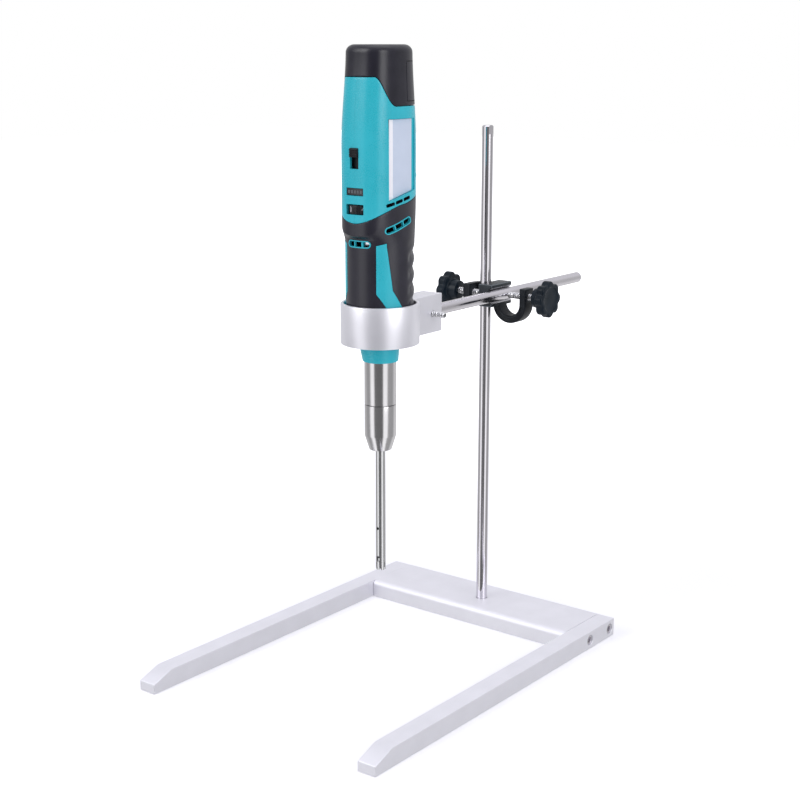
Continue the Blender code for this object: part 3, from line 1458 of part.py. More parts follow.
def build_motor(tool):
    bottom = MOTOR_LOW
    top = MOTOR_LOW + MOTOR_LENGTH
    wall = MOTOR_WALL
    profile = [
        (MOTOR_NECK_HOLE, bottom),
        (MOTOR_RADIUS, bottom),
        (MOTOR_RADIUS, top),
        (MOTOR_NECK_HOLE, top),
        (MOTOR_NECK_HOLE, top - wall),
        (MOTOR_RADIUS - wall, top - wall),
        (MOTOR_RADIUS - wall, bottom + wall),
        (MOTOR_NECK_HOLE, bottom + wall),
    ]
    turned_object("motor_can", profile, polished_steel(), 24, parent=tool)

    bore = MOTOR_SHAFT_RADIUS + RUN_GAP
    for name, low in (("motor_bush_lower", bottom - 0.0005), ("motor_bush_upper", top - 0.003)):
        profile = ring_profile(MOTOR_NECK_HOLE - GAP, bore, low, low + MOTOR_BUSH_LENGTH)
        turned_object(name, profile, polished_steel(), 16, parent=tool)

    core_low = bottom + (MOTOR_LENGTH - ARMATURE_LENGTH) / 2
    core_top = core_low + ARMATURE_LENGTH
    profile = [
        (0.0, -MOTOR_SHAFT_END),
        (MOTOR_SHAFT_RADIUS, -MOTOR_SHAFT_END),
        (MOTOR_SHAFT_RADIUS, core_low),
        (ARMATURE_RADIUS, core_low),
        (ARMATURE_RADIUS, core_top),
        (MOTOR_SHAFT_RADIUS, core_top),
        (MOTOR_SHAFT_RADIUS, top + 0.001),
        (0.0, top + 0.001),
    ]
    turned_object("motor_armature", profile, copper_winding(), 16, parent=tool)

    skirt_low = NOSE_FLANGE_HEIGHT + SHOULDER_HEIGHT + 2 * GAP
    plate_low = bottom - MOUNT_THICK - GAP
    profile = [
        (MOUNT_SKIRT_RADIUS - 0.002, skirt_low),
        (MOUNT_SKIRT_RADIUS, skirt_low),
        (MOUNT_SKIRT_RADIUS, plate_low),
        (MOUNT_RADIUS, plate_low),
        (MOUNT_RADIUS, plate_low + MOUNT_THICK),
        (MOTOR_NECK_HOLE + 0.003, plate_low + MOUNT_THICK),
        (MOTOR_NECK_HOLE + 0.003, plate_low),
        (MOUNT_SKIRT_RADIUS - 0.002, plate_low),
    ]
    turned_object("motor_mount", profile, dark_plastic(), 24, parent=tool)

    profile = [
        (0.0, COUPLING_TOP - COUPLING_LENGTH),
        (COUPLING_RADIUS, COUPLING_TOP - COUPLING_LENGTH),
        (COUPLING_RADIUS, COUPLING_TOP),
        (MOTOR_SHAFT_RADIUS + GAP, COUPLING_TOP),
        (MOTOR_SHAFT_RADIUS + GAP, -MOTOR_SHAFT_END - GAP),
        (0.0, -MOTOR_SHAFT_END - GAP),
    ]
    coupling = turned_object("drive_coupling", profile, polished_steel(), 24, parent=tool)
    bm = bmesh.new()
    half = COUPLING_SLOT / 2 + RUN_GAP
    foot = COUPLING_TOP - COUPLING_LENGTH
    low_corner = (-half, -COUPLING_SLOT_HALF, foot - GAP)
    add_box(bm, low_corner, (half, COUPLING_SLOT_HALF, foot + COUPLING_SLOT_TALL))
    combine(coupling, add_object("coupling_slot_cut", bm, parent=tool), "DIFFERENCE")


def build_nose(tool):
    """Teal nose: a leaning cone with a rounded mouth that carries the steel sleeve."""
    angles = column_angles()[::2]

    def circle(radius, height, shift=0.0):
        return [(radius * math.sin(a), -radius * math.cos(a) + shift, height) for a in angles]

    neck = SHOULDER_HOLE - GAP
    flange = SHOULDER_HEIGHT + GAP
    rounding = [
        (
            NOSE_END_RADIUS - NOSE_EDGE * (1.0 - math.cos(turn)),
            -NOSE_LENGTH + NOSE_EDGE * (1.0 - math.sin(turn)),
        )
        for turn in [math.pi / 2 * step / 4 for step in (4, 3, 2, 1, 0)]
    ]
    outside = [circle(radius, height, NOSE_END_SHIFT) for radius, height in rounding]
    outside += [
        circle(NOSE_MID_RADIUS, -NOSE_MID, NOSE_MID_SHIFT),
        circle(neck, -0.0008),
        circle(neck, flange),
        circle(NOSE_FLANGE_RADIUS, flange),
        circle(NOSE_FLANGE_RADIUS, flange + NOSE_FLANGE_HEIGHT),
    ]
    bore = SLEEVE_RADIUS + GAP
    inside = [circle(bore, -NOSE_LENGTH), circle(bore, flange + NOSE_FLANGE_HEIGHT)]
    add_object("nose_cone", shell_wall(outside, inside), teal_plastic(), parent=tool)


def build_sleeve(tool):
    profile = [
        (SLEEVE_BORE, -SLEEVE_SEAM + GAP / 2),
        (SLEEVE_RADIUS, -SLEEVE_SEAM + GAP / 2),
        (SLEEVE_RADIUS, SLEEVE_TOP - GAP),
        (SLEEVE_BORE, SLEEVE_TOP - GAP),
    ]
    turned_object("coupling_sleeve", profile, polished_steel(), 32, parent=tool)
    low = BEARING_LEVEL - BEARING_HEIGHT
    profile = ring_profile(SLEEVE_BORE - GAP, MOTOR_SHAFT_RADIUS + RUN_GAP, low, BEARING_LEVEL)
    turned_object("spindle_bearing", profile, polished_steel(), 24, parent=tool)


def build_probe(tool):
    """Dispersing tool: screwed collar, slotted stator tube, shaft, rotor, bushes and seal."""
    steel = polished_steel()
    spigot_top = -SLEEVE_SEAM + SPIGOT_HEIGHT
    spigot = SLEEVE_BORE - GAP
    tube_hole = PROBE_RADIUS + GAP
    profile = [
        (tube_hole, -CONE_END),
        (CONE_END_RADIUS, -CONE_END),
        (SLEEVE_RADIUS, -CONE_START),
        (SLEEVE_RADIUS, -SLEEVE_SEAM - GAP / 2),
        (spigot, -SLEEVE_SEAM - GAP / 2),
        (spigot, -SEAL_LEVEL - SEAL_TUBE),
        (spigot - SEAL_TUBE, -SEAL_LEVEL - SEAL_TUBE),
        (spigot - SEAL_TUBE, -SEAL_LEVEL + SEAL_TUBE),
        (spigot, -SEAL_LEVEL + SEAL_TUBE),
        (spigot, spigot_top),
        (COUPLING_RADIUS + 0.001, spigot_top),
        (COUPLING_RADIUS + 0.001, -SLEEVE_SEAM + 0.004),
        (SHAFT_RADIUS + RUN_GAP, -SLEEVE_SEAM + 0.004),
        (SHAFT_RADIUS + RUN_GAP, -PROBE_TOP + GAP),
        (tube_hole, -PROBE_TOP + GAP),
    ]
    turned_object("probe_collar", profile, steel, 32, parent=tool)

    seal = SEAL_TUBE - GAP
    profile = [
        (spigot - seal, -SEAL_LEVEL - seal),
        (spigot - GAP / 2, -SEAL_LEVEL - seal),
        (spigot - GAP / 2, -SEAL_LEVEL + seal),
        (spigot - seal, -SEAL_LEVEL + seal),
    ]
    turned_object("collar_seal", profile, soft_black_rubber(), 32, parent=tool)

    tube = turned_object(
        "stator_tube", ring_profile(PROBE_RADIUS, PROBE_BORE, -PROBE_TIP, -PROBE_TOP), steel, 36, parent=tool
    )
    for index in range(PROBE_TEETH // 2):
        bm = bmesh.new()
        add_box(
            bm,
            (-PROBE_RADIUS * 2, -TOOTH_SLOT_WIDTH / 2, -PROBE_TIP - GAP),
            (PROBE_RADIUS * 2, TOOTH_SLOT_WIDTH / 2, -PROBE_TIP + TOOTH_SLOT_HEIGHT),
        )
        turn = (0.0, 0.0, math.pi * index / (PROBE_TEETH // 2))
        cutter = add_object("tooth_slot_cut_%d" % index, bm, None, turn=turn, parent=tool)
        combine(tube, cutter, "DIFFERENCE")
    bm = bmesh.new()
    add_box(
        bm,
        (-WINDOW_WIDTH / 2, -PROBE_RADIUS * 2, -WINDOW_LEVEL - WINDOW_HEIGHT / 2),
        (WINDOW_WIDTH / 2, PROBE_RADIUS * 2, -WINDOW_LEVEL + WINDOW_HEIGHT / 2),
    )
    combine(tube, add_object("window_cut", bm, parent=tool), "DIFFERENCE")
    bm = bmesh.new()
    reach = PROBE_RADIUS * 2
    add_cylinder(bm, VENT_HOLE_RADIUS, (0.0, -reach, -VENT_HOLE_LEVEL), (0.0, reach, -VENT_HOLE_LEVEL), 12)
    combine(tube, add_object("vent_hole_cut", bm, parent=tool), "DIFFERENCE")

    rotor_low = -PROBE_TIP + ROTOR_RISE
    rotor_top = rotor_low + ROTOR_LENGTH
    shaft_top = -SHAFT_TOP
    dog_low = COUPLING_TOP - COUPLING_LENGTH
    profile = [
        (0.0, rotor_top + GAP),
        (SHAFT_RADIUS, rotor_top + GAP),
        (SHAFT_RADIUS, dog_low - GAP),
        (0.0, dog_low - GAP),
    ]
    shaft = turned_object("drive_shaft", profile, steel, 16, parent=tool)
    bm = bmesh.new()
    half = COUPLING_SLOT / 2
    add_box(bm, (-half, -DOG_HALF, dog_low - DOG_REACH), (half, DOG_HALF, dog_low + DOG_REACH))
    combine(shaft, add_object("drive_dog_form", bm, parent=tool), "UNION")

    rotor = turned_object(
        "rotor", [(0.0, rotor_low), (ROTOR_RADIUS, rotor_low), (ROTOR_RADIUS, rotor_top), (0.0, rotor_top)],
        steel, 24, parent=tool,
    )
    for tag, angle in (("a", 0.0), ("b", math.pi / 2)):
        bm = bmesh.new()
        add_box(
            bm,
            (-ROTOR_RADIUS * 2, -ROTOR_SLOT / 2, rotor_low - GAP),
            (ROTOR_RADIUS * 2, ROTOR_SLOT / 2, rotor_top - ROTOR_SLOT_STOP),
        )
        cutter = add_object("rotor_slot_cut_" + tag, bm, None, turn=(0.0, 0.0, angle), parent=tool)
        combine(rotor, cutter, "DIFFERENCE")

    for name, depth in zip(("shaft_bush_upper", "shaft_bush_lower"), BUSH_LEVELS):
        low = -depth - BUSH_LENGTH / 2
        profile = ring_profile(PROBE_BORE - GAP, SHAFT_RADIUS + RUN_GAP, low, low + BUSH_LENGTH)
        turned_object(name, profile, white_polymer(), 16, parent=tool)


def build_tool():
    tool = add_empty("tool_frame", (ARM_OFFSET, -TOOL_DISTANCE, SEAT_HEIGHT))
    build_housing(tool)
    build_grip(tool)
    build_inlays(tool)
    build_label_plate(tool)
    build_housing_screws(tool)
    build_controls(tool)
    build_battery(tool)
    build_motor(tool)
    build_nose(tool)
    build_sleeve(tool)
    build_probe(tool)


clear_scene()
build_base()
build_rods()
build_boss_head()
build_clamp_screws()
build_ring_holder()
build_tool()
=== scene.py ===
"""Looks of a cordless rotor stator homogenizer on its laboratory stand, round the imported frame."""

import bpy
import bmesh
import math
from mathutils import Matrix, Vector


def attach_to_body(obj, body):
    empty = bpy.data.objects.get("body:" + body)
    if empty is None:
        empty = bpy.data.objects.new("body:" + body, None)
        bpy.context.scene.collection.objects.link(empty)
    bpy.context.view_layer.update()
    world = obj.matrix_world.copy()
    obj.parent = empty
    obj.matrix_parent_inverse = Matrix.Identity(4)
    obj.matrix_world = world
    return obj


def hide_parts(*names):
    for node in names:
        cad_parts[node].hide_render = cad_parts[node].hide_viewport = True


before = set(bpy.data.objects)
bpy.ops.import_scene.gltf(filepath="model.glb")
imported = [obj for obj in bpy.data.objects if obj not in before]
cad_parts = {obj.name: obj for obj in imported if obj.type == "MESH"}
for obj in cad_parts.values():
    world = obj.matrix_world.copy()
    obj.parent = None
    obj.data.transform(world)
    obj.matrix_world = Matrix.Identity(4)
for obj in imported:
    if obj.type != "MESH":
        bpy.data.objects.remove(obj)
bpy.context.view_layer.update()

# ---------------------------------------------------------------- studio
# A plain white sweep with broad softboxes on both sides of the lens. Polished steel
# mirrors the room, so the world shows metal a dark gap behind the camera between
# two bright walls, which gives the rods their bright and dark bands.
CAMERA_PLACE = (0.75343, -1.09433, 0.52294)
CAMERA_TURN = math.radians(37.849)
CAMERA_DIP = math.radians(13.446)
LENS_MM = 67.51
FLOOR_HALF = 6.0
FLOOR_DROP = 0.0004
MIDDLE = (0.0, -0.05, 0.25)


def placed(name, data, place=(0.0, 0.0, 0.0)):
    """Puts a new object in the scene."""
    thing = bpy.data.objects.new(name, data)
    thing.location = place
    bpy.context.scene.collection.objects.link(thing)
    return thing


def softbox(name, place, aim, size, power):
    data = bpy.data.lights.new(name, "AREA")
    data.shape = "RECTANGLE"
    data.size, data.size_y = size
    data.energy = power
    towards = Vector(aim) - Vector(place)
    placed(name, data, place).rotation_euler = towards.to_track_quat("-Z", "Y").to_euler()


camera_data = bpy.data.cameras.new("bench_camera")
camera_data.lens = LENS_MM
camera_data.sensor_width = 36.0
camera_data.clip_start = 0.05
camera_data.clip_end = 30.0
camera = placed("bench_camera", camera_data, CAMERA_PLACE)
camera.rotation_euler = (math.pi / 2 - CAMERA_DIP, 0.0, CAMERA_TURN)
bpy.context.scene.camera = camera
bpy.context.scene.view_settings.view_transform = "Standard"
softbox("key_softbox", (-0.75, -1.55, 1.35), (0.0, -0.08, 0.25), (1.0, 1.2), 13.5)
softbox("fill_softbox", (1.75, -0.35, 0.95), MIDDLE, (1.0, 1.2), 11.0)
softbox("top_softbox", (0.0, 0.2, 2.0), (0.0, -0.1, 0.0), (1.6, 1.6), 8.0)


def add_node(tree, kind, inputs=None, **settings):
    """One node; inputs holds values or source sockets by name or number."""
    node = tree.nodes.new(kind)
    for key, value in settings.items():
        setattr(node, key, value)
    for key, source in (inputs or {}).items():
        if isinstance(source, bpy.types.NodeSocket):
            tree.links.new(source, node.inputs[key])
        else:
            node.inputs[key].default_value = source
    return node


def math_node(tree, operation, *values):
    return add_node(tree, "ShaderNodeMath", dict(enumerate(values)), operation=operation).outputs[0]


def remap(tree, value, low, high, from_low=0.3, from_high=0.7):
    ends = {"Value": value, "From Min": from_low, "From Max": from_high, "To Min": low, "To Max": high}
    return add_node(tree, "ShaderNodeMapRange", ends).outputs[0]


def mixed(tree, share, first, second):
    """Blend of two colours, each a plain (red, green, blue) or a socket."""
    first, second = [
        end if isinstance(end, bpy.types.NodeSocket) else (*end, 1.0) for end in (first, second)
    ]
    return add_node(tree, "ShaderNodeMix", {0: share, 6: first, 7: second}, data_type="RGBA").outputs[2]


def blank_tree(thing):
    thing.use_nodes = True
    thing.node_tree.nodes.clear()
    return thing.node_tree


world = bpy.data.worlds.new("white_room")
bpy.context.scene.world = world
room = blank_tree(world)
facing = add_node(
    room, "ShaderNodeVectorRotate",
    {
        "Vector": add_node(room, "ShaderNodeTexCoord").outputs["Generated"],
        "Angle": math.pi / 2 - CAMERA_TURN,
    },
    rotation_type="Z_AXIS",
)
axes = add_node(room, "ShaderNodeSeparateXYZ", {0: facing.outputs[0]}).outputs
bearing = math_node(room, "ARCTAN2", axes["Y"], axes["X"])
turn_share = math_node(room, "MULTIPLY_ADD", bearing, 0.5 / math.pi, 0.5)
walls = add_node(room, "ShaderNodeValToRGB", {0: turn_share})
WALL_GREYS = (
    (0.0, 0.72), (0.13, 0.66), (0.20, 0.42), (0.27, 0.42), (0.30, 1.25), (0.365, 1.25), (0.385, 0.20),
    (0.55, 0.17), (0.57, 1.25), (0.64, 1.25), (0.67, 0.44), (0.78, 0.42), (0.84, 0.80), (1.0, 0.72),
)
stops = walls.color_ramp.elements
while len(stops) < len(WALL_GREYS):
    stops.new(0.5)
for stop, (position, grey) in zip(stops, WALL_GREYS):
    stop.position = position
    stop.color = (grey, grey, grey, 1.0)
overhead = math_node(room, "MULTIPLY_ADD", axes["Z"], 1.6, -0.35)
mirrored = mixed(room, overhead, walls.outputs[0], (0.72, 0.72, 0.77))
paths = add_node(room, "ShaderNodeLightPath").outputs
plain = mixed(room, paths["Is Camera Ray"], (0.56, 0.56, 0.59), (1.0, 1.0, 1.0))
seen = mixed(room, paths["Is Glossy Ray"], plain, mirrored)
light = add_node(room, "ShaderNodeBackground", {"Color": seen, "Strength": 1.0})
add_node(room, "ShaderNodeOutputWorld", {"Surface": light.outputs[0]})

floor_mesh = bpy.data.meshes.new("white_floor")
floor_mesh.from_pydata(
    [(x * FLOOR_HALF, y * FLOOR_HALF, 0.0) for x, y in ((-1, -1), (1, -1), (1, 1), (-1, 1))],
    [], [(0, 1, 2, 3)],
)
floor = placed("white_floor", floor_mesh, (0.0, 0.0, -FLOOR_DROP))
paper = bpy.data.materials.new("white_paper")
sheet = blank_tree(paper)
matt = add_node(sheet, "ShaderNodeBsdfDiffuse", {"Color": (0.80, 0.80, 0.84, 1.0)}).outputs[0]
paths = add_node(sheet, "ShaderNodeLightPath").outputs
spot = add_node(sheet, "ShaderNodeTexCoord").outputs["Object"]
reach = add_node(sheet, "ShaderNodeVectorMath", {0: spot}, operation="LENGTH").outputs["Value"]
glow = math_node(sheet, "MULTIPLY", paths["Is Camera Ray"], remap(sheet, reach, 0.26, 1.2, 0.27, 1.1))
lift = add_node(sheet, "ShaderNodeEmission", {"Color": (0.98, 0.98, 1.0, 1.0), "Strength": glow}).outputs[0]
both = add_node(sheet, "ShaderNodeAddShader", {0: matt, 1: lift}).outputs[0]
clear = add_node(sheet, "ShaderNodeBsdfTransparent").outputs[0]
shown = add_node(sheet, "ShaderNodeMixShader", {0: paths["Is Glossy Ray"], 1: both, 2: clear}).outputs[0]
add_node(sheet, "ShaderNodeOutputMaterial", {"Surface": shown})
floor_mesh.materials.append(paper)

# ---------------------------------------------------------------- crossbar and legs
# Three bars of drawn aluminium, glass-bead blasted and anodised. The legs are screwed
# to the ends of the crossbar, whose front top edge is rounded over.
BASE_WIDTH = 0.250
BASE_THICK = 0.016
LEG_WIDTH = 0.017
LEG_BACK = 0.030
LEG_TIP = -0.315
LEG_NOSE = 0.0207
LEG_NOSE_HEIGHT = 0.0086
CROSSBAR_FRONT = -0.028
CROSSBAR_ROUND = 0.005
JOINT_GAP = 0.00018
ROD_SEAT_RADIUS = 0.0052
ROD_SEAT_FLOOR = 0.0118
SCREW_SPOTS = (0.0222, -0.0113)
COUNTERBORE_RADIUS = 0.00455
ALUMINIUM_COLOUR = (0.86, 0.855, 0.915)
ALUMINIUM_METAL = 0.70


def new_tree(name, kind, inputs, outputs):
    """Node group whose named inputs and outputs are each given with their kind of socket."""
    tree = bpy.data.node_groups.new(name, kind)
    for way, sockets in (("INPUT", inputs), ("OUTPUT", outputs)):
        for label, socket in sockets.items():
            tree.interface.new_socket(label, in_out=way, socket_type="NodeSocket" + socket)
    return tree, tree.nodes.new("NodeGroupInput").outputs, tree.nodes.new("NodeGroupOutput").inputs


def grain_group():
    """Fine blast or mould grain: a height for bump and a mask that mottles colour and roughness."""
    tree, given, out = new_tree(
        "fine_grain", "ShaderNodeTree", {"Size mm": "Float", "Patch mm": "Float"},
        {"Height": "Float", "Mottle": "Float"},
    )
    place = add_node(tree, "ShaderNodeTexCoord").outputs["Object"]
    for size, detail, result in (("Size mm", 2.0, "Height"), ("Patch mm", 3.0, "Mottle")):
        scale = math_node(tree, "DIVIDE", 1000.0, given[size])
        noise = add_node(tree, "ShaderNodeTexNoise", {"Vector": place, "Scale": scale, "Detail": detail})
        tree.links.new(noise.outputs["Fac"], out[result])
    return tree


GRAIN = grain_group()


def grained(name, grain_mm, patch_mm, dark, light):
    """New material with its grain's height and mottle, and a tone that drifts between two colours."""
    finish = bpy.data.materials.new(name)
    finish.use_nodes = True
    tree = finish.node_tree
    sizes = {"Size mm": grain_mm, "Patch mm": patch_mm}
    grain = add_node(tree, "ShaderNodeGroup", sizes, node_tree=GRAIN).outputs
    tone = mixed(tree, remap(tree, grain["Mottle"], 0.0, 1.0), dark, light)
    return finish, tree, grain["Height"], grain["Mottle"], tone


def skinned(finish, tone, gloss, low, high, height=None, relief_mm=0.0, metal=0.0, shine=0.5):
    """Wires colour, roughness between two values and bump into a material."""
    tree = finish.node_tree
    shader = tree.nodes["Principled BSDF"]
    tree.links.new(tone, shader.inputs["Base Color"])
    tree.links.new(remap(tree, gloss, low, high), shader.inputs["Roughness"])
    if height:
        relief = add_node(tree, "ShaderNodeBump", {"Height": height, "Distance": relief_mm / 1000.0})
        tree.links.new(relief.outputs[0], shader.inputs["Normal"])
    shader.inputs["Metallic"].default_value = metal
    shader.inputs["Specular IOR Level"].default_value = shine
    return finish


def shaded(colour, share):
    return tuple(min(1.0, channel * share) for channel in colour)


def satin_aluminium(name, low, high):
    """Blasted and anodised aluminium, with an even satin gloss."""
    tones = (shaded(ALUMINIUM_COLOUR, 0.975), shaded(ALUMINIUM_COLOUR, 1.015))
    finish, tree, height, mottle, tone = grained(name, 0.35, 22.0, *tones)
    return skinned(finish, tone, height, low, high, height, 0.012, ALUMINIUM_METAL)


def baked(piece):
    """Applies every modifier of a piece by swapping in its evaluated mesh."""
    graph = bpy.context.evaluated_depsgraph_get()
    graph.update()
    mesh = bpy.data.meshes.new_from_object(piece.evaluated_get(graph), depsgraph=graph)
    old = piece.data
    piece.modifiers.clear()
    piece.data = mesh
    mesh.name = piece.name
    bpy.data.meshes.remove(old)
    return piece


def rounded(piece, width, steps, sharp=32.0):
    """Rounds every edge that turns by more than an angle."""
    edge = piece.modifiers.new("edge", "BEVEL")
    edge.width = width
    edge.segments = steps
    edge.limit_method = "ANGLE"
    edge.angle_limit = math.radians(sharp)
    return baked(piece)


def smooth(piece, sharp=35.0):
    piece.data.shade_smooth()
    piece.data.set_sharp_from_angle(angle=math.radians(sharp))


def planed(piece, sharp=30.0):
    """Smooth shading that keeps wide flat faces flat beside their rounded edges."""
    smooth(piece, sharp)
    piece.modifiers.new("weights", "WEIGHTED_NORMAL").keep_sharp = True
    baked(piece)


def finished(name, bm, finish=None, bevel=0.0, steps=3):
    """Turns a bmesh into a smooth-shaded piece, with rounded edges where a bevel is given."""
    bmesh.ops.remove_doubles(bm, verts=bm.verts, dist=1e-7)
    bmesh.ops.recalc_face_normals(bm, faces=bm.faces)
    mesh = bpy.data.meshes.new(name)
    bm.to_mesh(mesh)
    bm.free()
    piece = placed(name, mesh)
    if finish:
        mesh.materials.append(finish)
    if bevel:
        rounded(piece, bevel, steps)
    smooth(piece)
    return piece


def solid(name, shape, *sizes, **looks):
    """Piece of one shape: the shape function gets its sizes, and finished() gets the looks."""
    bm = bmesh.new()
    shape(bm, *sizes)
    return finished(name, bm, **looks)


def attach(piece, body, nodes):
    """Lets a piece ride on a body and stand for CAD nodes, which it hides."""
    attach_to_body(piece, body)
    if nodes:
        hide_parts(*nodes)


def fitted(piece, body, nodes, sharp=35.0):
    smooth(piece, sharp)
    attach(piece, body, nodes)


def cut(piece, cutters, operation="DIFFERENCE"):
    """Boolean of a piece with throwaway solids, applied at once."""
    for cutter in cutters:
        carve = piece.modifiers.new("carve", "BOOLEAN")
        carve.operation = operation
        carve.solver = "EXACT"
        carve.material_mode = "TRANSFER"
        carve.object = cutter
    baked(piece)
    for cutter in cutters:
        mesh = cutter.data
        bpy.data.objects.remove(cutter)
        bpy.data.meshes.remove(mesh)
    return piece


def joined(piece, others):
    return cut(piece, others, "UNION")


def prism(bm, outline, thickness, place):
    """Solid over a closed outline, raised along the local Z of a matrix."""
    low = [bm.verts.new(place @ Vector((x, y, 0.0))) for x, y in outline]
    high = [bm.verts.new(place @ Vector((x, y, thickness))) for x, y in outline]
    bm.faces.new(low[::-1])
    bm.faces.new(high)
    for index, corner in enumerate(low):
        other = (index + 1) % len(low)
        bm.faces.new((corner, low[other], high[other], high[index]))


def rod(bm, radius, start, end, segments=48):
    """Plain cylinder between two points."""
    start, end = Vector(start), Vector(end)
    axis = end - start
    matrix = Matrix.Translation((start + end) / 2) @ axis.to_track_quat("Z", "Y").to_matrix().to_4x4()
    bmesh.ops.create_cone(
        bm, cap_ends=True, segments=segments, radius1=radius, radius2=radius, depth=axis.length,
        matrix=matrix
    )


def block(bm, low, high):
    """Plain box between two corners."""
    size = [b - a for a, b in zip(low, high)]
    middle = [(a + b) / 2 for a, b in zip(low, high)]
    matrix = Matrix.Translation(middle) @ Matrix.Diagonal((*size, 1.0))
    bmesh.ops.create_cube(bm, size=1.0, matrix=matrix)


def frame_of(across, up, out, origin=(0.0, 0.0, 0.0)):
    """Matrix whose local X, Y and Z point along three world directions."""
    return Matrix((*zip(across, up, out, origin), (0, 0, 0, 1)))


STANDING = frame_of((0, 1, 0), (0, 0, 1), (1, 0, 0))
inner_edge = BASE_WIDTH / 2 - LEG_WIDTH
bar_aluminium = satin_aluminium("blasted_aluminium", 0.50, 0.62)
outline = [(LEG_BACK, 0.0), (LEG_BACK, BASE_THICK)]
for step in range(13):
    angle = math.pi / 2 * step / 12
    outline.append((
        CROSSBAR_FRONT + CROSSBAR_ROUND * (1.0 - math.sin(angle)),
        BASE_THICK - CROSSBAR_ROUND * (1.0 - math.cos(angle)),
    ))
outline.append((CROSSBAR_FRONT, 0.0))
place = Matrix.Translation((-inner_edge + JOINT_GAP, 0.0, 0.0)) @ STANDING
crossbar = solid("crossbar_bar", prism, outline, 2 * (inner_edge - JOINT_GAP), place, finish=bar_aluminium)
cut(crossbar, [solid("rod_seat", rod, ROD_SEAT_RADIUS, (0, 0, ROD_SEAT_FLOOR), (0, 0, 0.02), 64)])
planed(rounded(crossbar, 0.0003, 2, 40.0))
attach(crossbar, "base", ["crossbar"])

outline = [
    (LEG_BACK, 0.0), (LEG_BACK, BASE_THICK), (LEG_TIP + LEG_NOSE, BASE_THICK), (LEG_TIP, LEG_NOSE_HEIGHT),
    (LEG_TIP, 0.0),
]
for side, tag in ((-1, "left"), (1, "right")):
    start = inner_edge if side > 0 else -BASE_WIDTH / 2
    place = Matrix.Translation((start, 0.0, 0.0)) @ STANDING
    leg = solid(tag + "_leg_bar", prism, outline, LEG_WIDTH, place, finish=bar_aluminium)
    cut(leg, [
        solid(
            "counterbore", rod, COUNTERBORE_RADIUS, (side * 0.119, y, BASE_THICK / 2),
            (side * 0.130, y, BASE_THICK / 2),
        )
        for y in SCREW_SPOTS
    ])
    planed(rounded(leg, 0.0006, 3, 20.0))
    attach(leg, "base", [tag + "_leg"])

# ---------------------------------------------------------------- leg screws
# Four stainless socket head cap screws, sunk in counterbores in the sides of the legs.
# One screw is turned here, and a node tree sets it out in a row of two.
LEG_SCREW_TOP = BASE_WIDTH / 2 - 0.0008
HEAD_RADIUS = 0.00425
HEAD_TALL = 0.005
SHANK_RADIUS = 0.0025
SHANK_LENGTH = 0.026
SOCKET_RADIUS = 0.0024
SOCKET_DEPTH = 0.0024
STEEL_COLOUR = (0.72, 0.70, 0.745)
UP_LINES = (40.0, 40.0, 900.0)


def polished_steel(name, colour=STEEL_COLOUR, low=0.08, high=0.15, lines=UP_LINES):
    """Ground stainless bar: faint draw lines and a slight change of gloss along it."""
    finish, tree, height, mottle, tone = grained(name, 1.5, 35.0, shaded(colour, 0.93), colour)
    place = add_node(tree, "ShaderNodeTexCoord").outputs["Object"]
    stretch = add_node(tree, "ShaderNodeMapping", {"Vector": place, "Scale": lines}).outputs[0]
    draw = add_node(tree, "ShaderNodeTexNoise", {"Vector": stretch, "Scale": 1.0, "Detail": 4.0})
    drawn = draw.outputs["Fac"]
    return skinned(finish, tone, drawn, low, high, drawn, 0.0006, 1.0)


def lathe(bm, profile, segments=96, place=Matrix()):
    """Turned solid about the local Z of a matrix; profile runs (radius, height), axis to axis or closed."""
    rings = []
    for radius, height in profile:
        angles = [0.0] if radius < 1e-6 else [math.tau * index / segments for index in range(segments)]
        rings.append([
            bm.verts.new(place @ Vector((radius * math.cos(angle), radius * math.sin(angle), height)))
            for angle in angles
        ])
    closed = len(rings[0]) > 1 and len(rings[-1]) > 1
    for low, high in zip(rings, rings[1:] + (rings[:1] if closed else [])):
        for index in range(segments):
            other = (index + 1) % segments
            corners = [low[index % len(low)], low[other % len(low)]]
            corners += [high[other % len(high)], high[index % len(high)]]
            bm.faces.new([corner for number, corner in enumerate(corners) if corner not in corners[:number]])


def row_tree():
    """Node tree: copies of the incoming part in a straight row, turned and finished."""
    tree, given, out = new_tree("part_row", "GeometryNodeTree", {
        "Part": "Geometry", "Count": "Int", "First": "Vector", "Step": "Vector", "Turn": "Rotation",
        "Finish": "Material",
    }, {"Geometry": "Geometry"})
    line = add_node(tree, "GeometryNodeMeshLine", {
        "Count": given["Count"], "Start Location": given["First"], "Offset": given["Step"],
    })
    copies = add_node(tree, "GeometryNodeInstanceOnPoints", {
        "Points": line.outputs[0], "Instance": given["Part"], "Rotation": given["Turn"],
    })
    real = add_node(tree, "GeometryNodeRealizeInstances", {0: copies.outputs[0]})
    skin = add_node(tree, "GeometryNodeSetMaterial", {0: real.outputs[0], "Material": given["Finish"]})
    tree.links.new(skin.outputs[0], out[0])
    return tree


def grown(piece, tree, **values):
    """Runs a node tree on a piece with its inputs set by name, and keeps the plain mesh."""
    grow = piece.modifiers.new("grow", "NODES")
    grow.node_group = tree
    for item in tree.interface.items_tree:
        if item.in_out == "INPUT" and item.name in values:
            grow[item.identifier] = values[item.name]
    return baked(piece)


